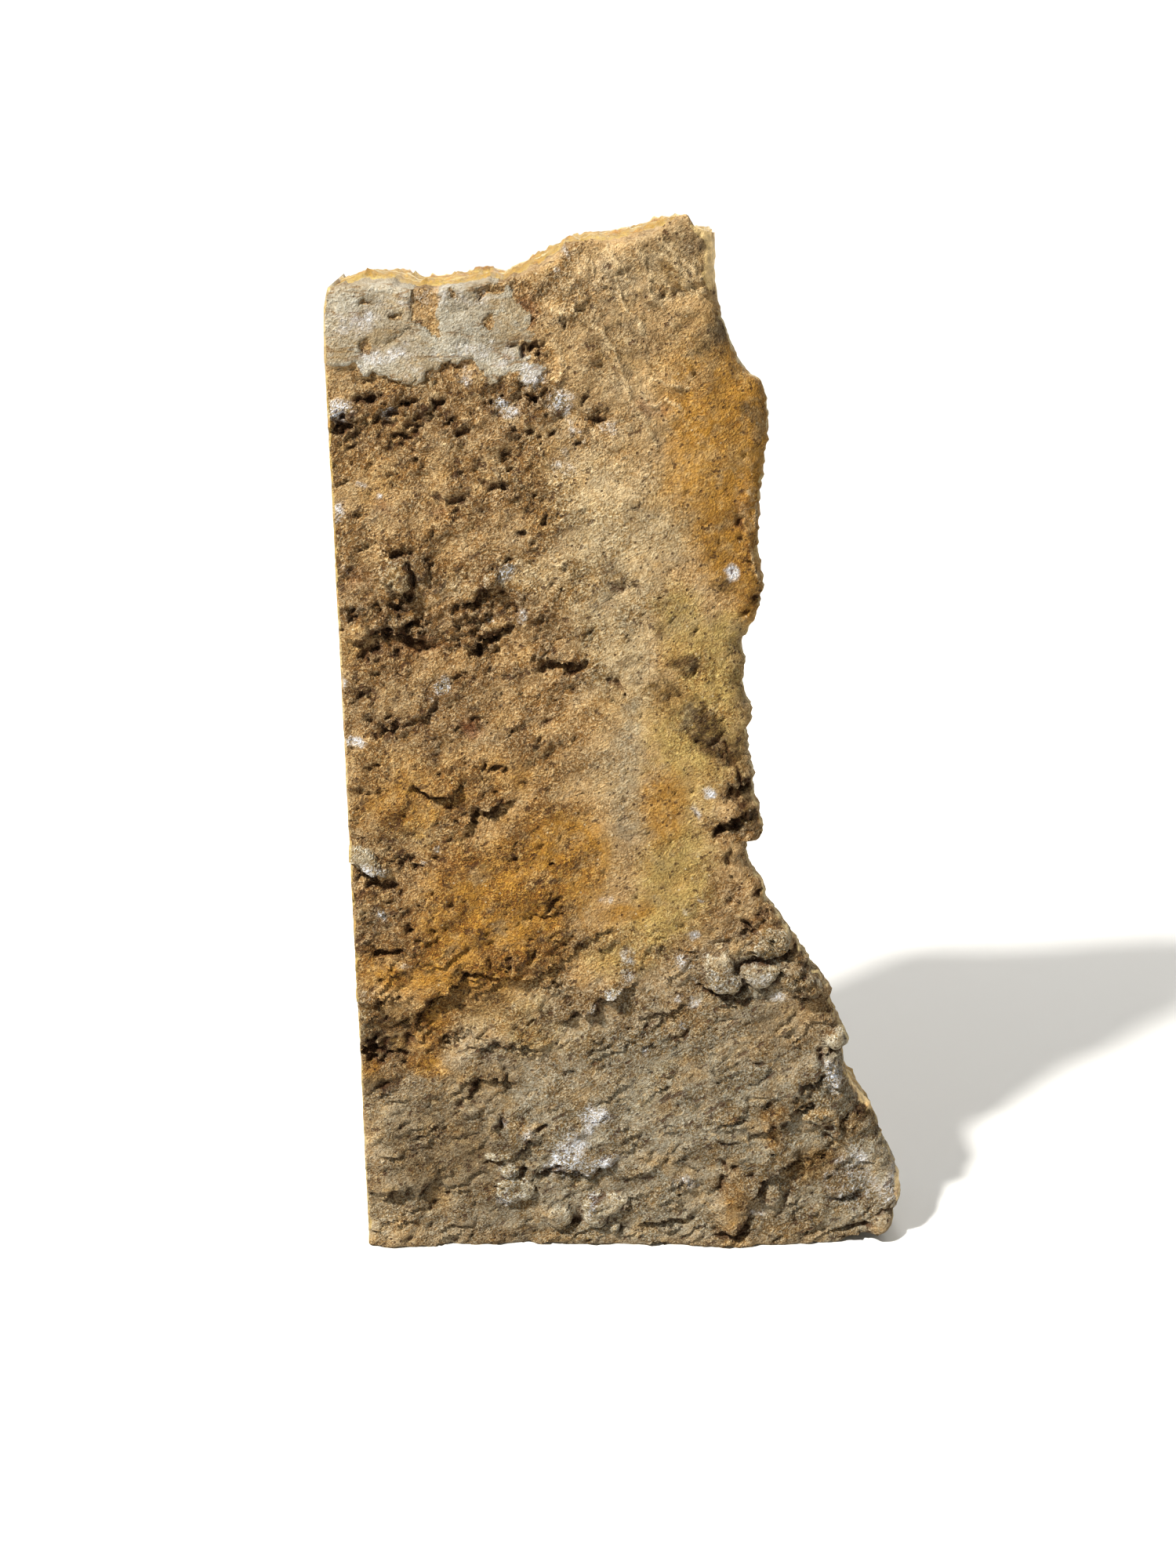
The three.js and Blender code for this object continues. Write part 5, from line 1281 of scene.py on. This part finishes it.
def crust_colour(shader, colour, coarse, fine, wander):
    """Lays the plates' pale faces and the painted highlight on their rims, the smooth skin, the veins and
    the bloom on the clay.
    """
    plate = shader.ragged("plate", shader.times(fine, 0.9), 0.35, 0.8, 0, 0.75)
    colour = shader.lay(plate, colour, "plate")
    # Painted highlight along the plates' rims.
    rim = shader.ragged("plate_rim_highlight", wander, 0.2, 0.6, 0, 0.85)
    colour = shader.lay(rim, colour, "plate_rim_highlight")
    colour = shader.mix(shader.masked("skin", 0.3, 0.6), colour, skin_colour(shader, coarse))
    vein = shader.times(shader.masked("vein", 0.2, 0.8), 0.7)
    colour = shader.lay(vein, colour, "vein")
    cloud = shader.add(shader.times(fine, 1.4), shader.times(coarse, 1.3))
    bloom = shader.ragged("bloom", cloud, 0.1, 0.9, 0, 0.9)
    bloom = shader.times(bloom, shader.masked("bloom", 0.02, 0.2))
    return shader.lay(bloom, colour, "bloom")


def grain_colour(shader, colour, grit):
    """Lays painted shade on the low grit and painted light on the high grit, pale ridges on the creased
    clay, and speckles over it all.
    """
    # Painted shade and light that follow the height of the grit's bump.
    grit_shade_and_light = shader.mix(shader.step(grit, -0.19, 0.1), GRIT_PAINTED_SHADE, GRIT_PAINTED_LIGHT)
    colour = shader.mix(1.0, colour, grit_shade_and_light, "MULTIPLY")
    ridges = shader.step(shader.creases(3.4, 5, 0.7, 1.8, RIDGE_TURN), 0.0, 0.06, 1, 0)
    ridges = shader.times(ridges, shader.step(shader.noise(5, 2), -0.06, 0.08), shader.mask("creased"), 0.5)
    colour = shader.lay(ridges, colour, "vein")
    broad = shader.step(shader.noise(9, 5, 0.65), -0.2, 0.2, 0.84, 1.12)
    colour = shader.mix(1.0, colour, broad, "MULTIPLY")
    crisp = shader.step(shader.noise(0.7, 4, 0.8, 1.4), -0.12, 0.12, 0.7, 1.24)
    strength = shader.add(shader.times(shader.mask("rough"), 0.6), 0.4)
    colour = shader.mix(strength, colour, crisp, "MULTIPLY")
    grains = shader.times(shader.specks(1.9, 0.16, 0.25), 0.5)
    return shader.lay(grains, colour, "grain")


def rind_colour(shader, grit, pits):
    """Weathered clay with its crusts and its smooth skin, with painted shade in the pits, crevices and
    hollows.
    """
    coarse = shader.noise(11, 6, 0.62)
    fine = shader.noise(2.2, 5, 0.7)
    wander = shader.add(coarse, shader.times(fine, 0.7))
    colour = clay_colour(shader, coarse, wander)
    colour = crust_colour(shader, colour, coarse, fine, wander)
    colour = grain_colour(shader, colour, grit)
    # Painted shade: the pits, crevices and hollows are darkened in the colour.
    painted_shade = shader.times(pits, 0.72)
    broken = shader.times(shader.add(fine, shader.times(grit, -0.8)), 1.5)
    for name, low, high, amount in PAINTED_SHADE_MASKS:
        depth = shader.ragged(name, broken, low, high, 0, amount)
        painted_shade = shader.larger(painted_shade, shader.times(depth, shader.masked(name, 0.02, 0.2)))
    return shader.lay(painted_shade, colour, "hollow_shade")


def calcite_colour(shader, sawn):
    """Banded calcite under the rind: cream, honey and amber layers that follow the front, with painted
    light on the bare cream and orange patches of painted shade.
    """
    wave = shader.add(
        shader.mask("behind"), shader.times(shader.noise(75, 2, 0.45), 26),
        shader.times(shader.noise(22, 3, 0.5), 5), shader.times(shader.noise(3, 4, 0.6), 0.5),
    )
    place = shader.maths("PINGPONG", shader.times(wave, 1 / BAND_REPEAT), 1.0)
    bands = shader.node("ShaderNodeValToRGB", {"Fac": place})
    ramp = bands.color_ramp.elements
    for position, paint in CALCITE_BANDS[1:-1]:
        ramp.new(position).color = daylight(paint)
    ramp[0].color, ramp[-1].color = daylight(CALCITE_BANDS[0][1]), daylight(CALCITE_BANDS[-1][1])
    # Bare calcite: its own cream, brightened as painted light.
    cream = shader.masked("bare", 0.3, 0.9, 0, 0.8)
    colour = shader.mix(cream, bands.outputs["Color"], BARE_CALCITE_WITH_PAINTED_LIGHT)
    # Orange painted shade in random patches, standing for shade in the broken calcite's scallops; none on
    # the sawn faces.
    calcite_shade = shader.step(shader.noise(5, 4, 0.65), 0.0, 0.16, 0, shader.step(sawn, 0, 1, 0.6, 0))
    colour = shader.lay(calcite_shade, colour, "calcite_painted_shade")
    grain = shader.step(shader.noise(1.6, 5, 0.7), -0.2, 0.2, shader.step(sawn, 0, 1, 0.6, 0.9), 1.15)
    return shader.mix(1.0, colour, grain, "MULTIPLY")


def clay_pits(shader, rough):
    """1 in the clefts and pores of the clay, which the bump sinks and the colour darkens as painted shade;
    the smooth skin has few.
    """
    cleft_noise = shader.step(shader.noise(2.6, 4, 0.6, 3), 0.12, 0.16)
    clefts = shader.times(cleft_noise, shader.masked("grey", 0, 1, 0.2, 1))
    worn = shader.step(shader.add(shader.noise(1.9, 4, 0.7, 1.5), shader.times(rough, 0.05)), 0.13, 0.19)
    pores = shader.larger(worn, shader.specks(1.7, 0.2, 0.4))
    return shader.times(shader.larger(clefts, pores), shader.masked("skin", 0, 1, 1, 0.3))


def clay_grit(shader, rough):
    """Height of the grit and the crumbs of the clay, about zero."""
    grains = shader.times(shader.creases(1.1, 3, 0.7, 1.2), 1.2)
    grit = shader.add(grains, shader.times(shader.noise(0.45, 1, 0.5), 0.5), -0.12)
    grit = shader.times(grit, shader.add(rough, 0.3))
    crumb = shader.add(shader.times(shader.cells(1.25, 1.25)[0], -1.0), 0.42)
    return shader.add(grit, shader.times(crumb, shader.mask("crumbly"), 0.36))


def calcite_cover(shader):
    """1 where the calcite shows: behind the rind, on bare edges and along the sides."""
    behind = shader.ragged("behind", shader.times(shader.noise(2.5, 4, 0.6), 1.6), 1.6, 2.2)
    edge = shader.add(shader.mask("left_edge"), shader.times(shader.mask("right_edge"), 0.7))
    edge = shader.add(shader.larger(edge, shader.mask("bare")), shader.times(shader.noise(3, 3, 0.6), 1.4))
    return shader.larger(behind, shader.step(edge, 0.5, 0.8, 0, 0.75))


def onyx_material():
    """Rind over banded calcite, in one finish that changes with depth behind the front."""
    shader = Shader("onyx_with_rind")
    rough = shader.mask("rough")
    sawn = shader.mask("sawn")
    pits = clay_pits(shader, rough)
    grit = clay_grit(shader, rough)
    fresh = calcite_cover(shader)
    colour = shader.mix(fresh, rind_colour(shader, grit, pits), calcite_colour(shader, sawn))
    clay = shader.times(shader.add(grit, shader.times(pits, -0.4)), shader.step(fresh, 0, 1, 1, 0))
    crystal = shader.times(shader.noise(1.4, 4, 0.7), shader.step(sawn, 0, 1, 0.6, 0.05), fresh)
    relief = {"Height": shader.add(clay, crystal), "Distance": BUMP_DEPTH * METRES, "Strength": 1.0}
    return shader.finish(
        Base_Color=colour,
        Roughness=shader.add(shader.step(fresh, 0, 1, 0.93, 0.5), shader.times(sawn, -0.14)),
        Normal=shader.node("ShaderNodeBump", relief).outputs["Normal"],
        Specular_IOR_Level=0.35,
    )


def build_slab():
    slab = bpy.data.objects.new("onyx_specimen", slab_mesh())
    bpy.context.scene.collection.objects.link(slab)
    slab.data.materials.append(onyx_material())
    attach(slab, "root")
    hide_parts("onyx_slab")


# ---- Floor, light and camera, in metres; the camera's place is in slab coordinates ----

FLOOR_RADIUS = 1.3
BEND_RADIUS = 0.6
BEND_STEPS = 16
BACKDROP_HEIGHT = 1.6
FLOOR_SLICES = 72
PAPER = (0.56, 0.56, 0.55, 1)
LIGHT_PAPER = (0.60, 0.60, 0.59, 1)

MIDDLE_OF_SLAB = (0, 0, 0.12)
BACKDROP = (0, 1.9, 0.9)
SURROUND = (1.0, 0.85, 0.7, 1)
SURROUND_STRENGTH = 0.05

CAMERA_PLACE = (52.97, -406.86, 268.64)
CAMERA_DOWN = 20.2
LENS = 45
SENSOR_WIDTH = 36


def studio_floor():
    """A round pale floor that curves up into a backdrop all the way round."""
    profile = [(FLOOR_RADIUS, 0.0)]
    for k in range(1, BEND_STEPS + 1):
        angle = math.pi / 2 * k / BEND_STEPS
        profile.append((FLOOR_RADIUS + BEND_RADIUS * math.sin(angle), BEND_RADIUS * (1 - math.cos(angle))))
    profile.append((FLOOR_RADIUS + BEND_RADIUS, BACKDROP_HEIGHT))
    turns = [2 * math.pi * k / FLOOR_SLICES for k in range(FLOOR_SLICES)]
    points = []
    for radius, z in profile:
        points += [(radius * math.cos(turn), radius * math.sin(turn), z) for turn in turns]
    faces = [tuple(range(FLOOR_SLICES))]
    for ring in range(0, (len(profile) - 1) * FLOOR_SLICES, FLOOR_SLICES):
        for k in range(FLOOR_SLICES):
            after = (k + 1) % FLOOR_SLICES
            faces.append((ring + k, ring + FLOOR_SLICES + k, ring + FLOOR_SLICES + after, ring + after))
    mesh = bpy.data.meshes.new("studio_floor")
    mesh.from_pydata(points, [], faces)
    mesh.polygons.foreach_set("use_smooth", [True] * len(faces))
    floor = bpy.data.objects.new("studio_floor", mesh)
    bpy.context.scene.collection.objects.link(floor)
    paper = Shader("studio_paper")
    tint = paper.mix(paper.step(paper.noise(400), -0.3, 0.3), PAPER, LIGHT_PAPER)
    mesh.materials.append(paper.finish(Base_Color=tint, Roughness=0.9))


def area_light(name, place, size, power, colour, aim=MIDDLE_OF_SLAB):
    light = bpy.data.lights.new(name, "AREA")
    light.shape = "DISK"
    light.size = size
    light.energy = power
    light.color = colour
    lamp = bpy.data.objects.new(name, light)
    lamp.location = place
    lamp.rotation_euler = (Vector(aim) - Vector(place)).to_track_quat("-Z", "Y").to_euler()
    bpy.context.scene.collection.objects.link(lamp)


def light_scene():
    """A warm key from the upper left, raking the front, and a soft white surround."""
    area_light("key", (-0.79, -0.67, 1.28), size=0.14, power=60, colour=(1.0, 0.975, 0.925))
    area_light("backdrop_lamp", (0.0, 0.45, 1.9), size=0.6, power=24, colour=(1.0, 1.0, 1.0), aim=BACKDROP)
    area_light("back_fill", (0.5, 1.0, 1.0), size=0.8, power=9, colour=(1.0, 0.98, 0.95))
    world = bpy.data.worlds.new("surround")
    world.use_nodes = True
    background = world.node_tree.nodes["Background"]
    background.inputs["Color"].default_value = SURROUND
    background.inputs["Strength"].default_value = SURROUND_STRENGTH
    bpy.context.scene.world = world
    bpy.context.scene.view_settings.view_transform = "Standard"
    bpy.context.scene.view_settings.look = "Medium High Contrast"


def place_camera():
    camera = bpy.data.objects.new("camera", bpy.data.cameras.new("camera"))
    camera.data.lens = LENS
    camera.data.sensor_width = SENSOR_WIDTH
    camera.location = to_row_frame(np.array(CAMERA_PLACE))
    camera.rotation_euler = (math.radians(90 - CAMERA_DOWN), 0, 0)
    camera.data.clip_start = 0.01
    bpy.context.scene.collection.objects.link(camera)
    bpy.context.scene.camera = camera


build_slab()
studio_floor()
light_scene()
place_camera()
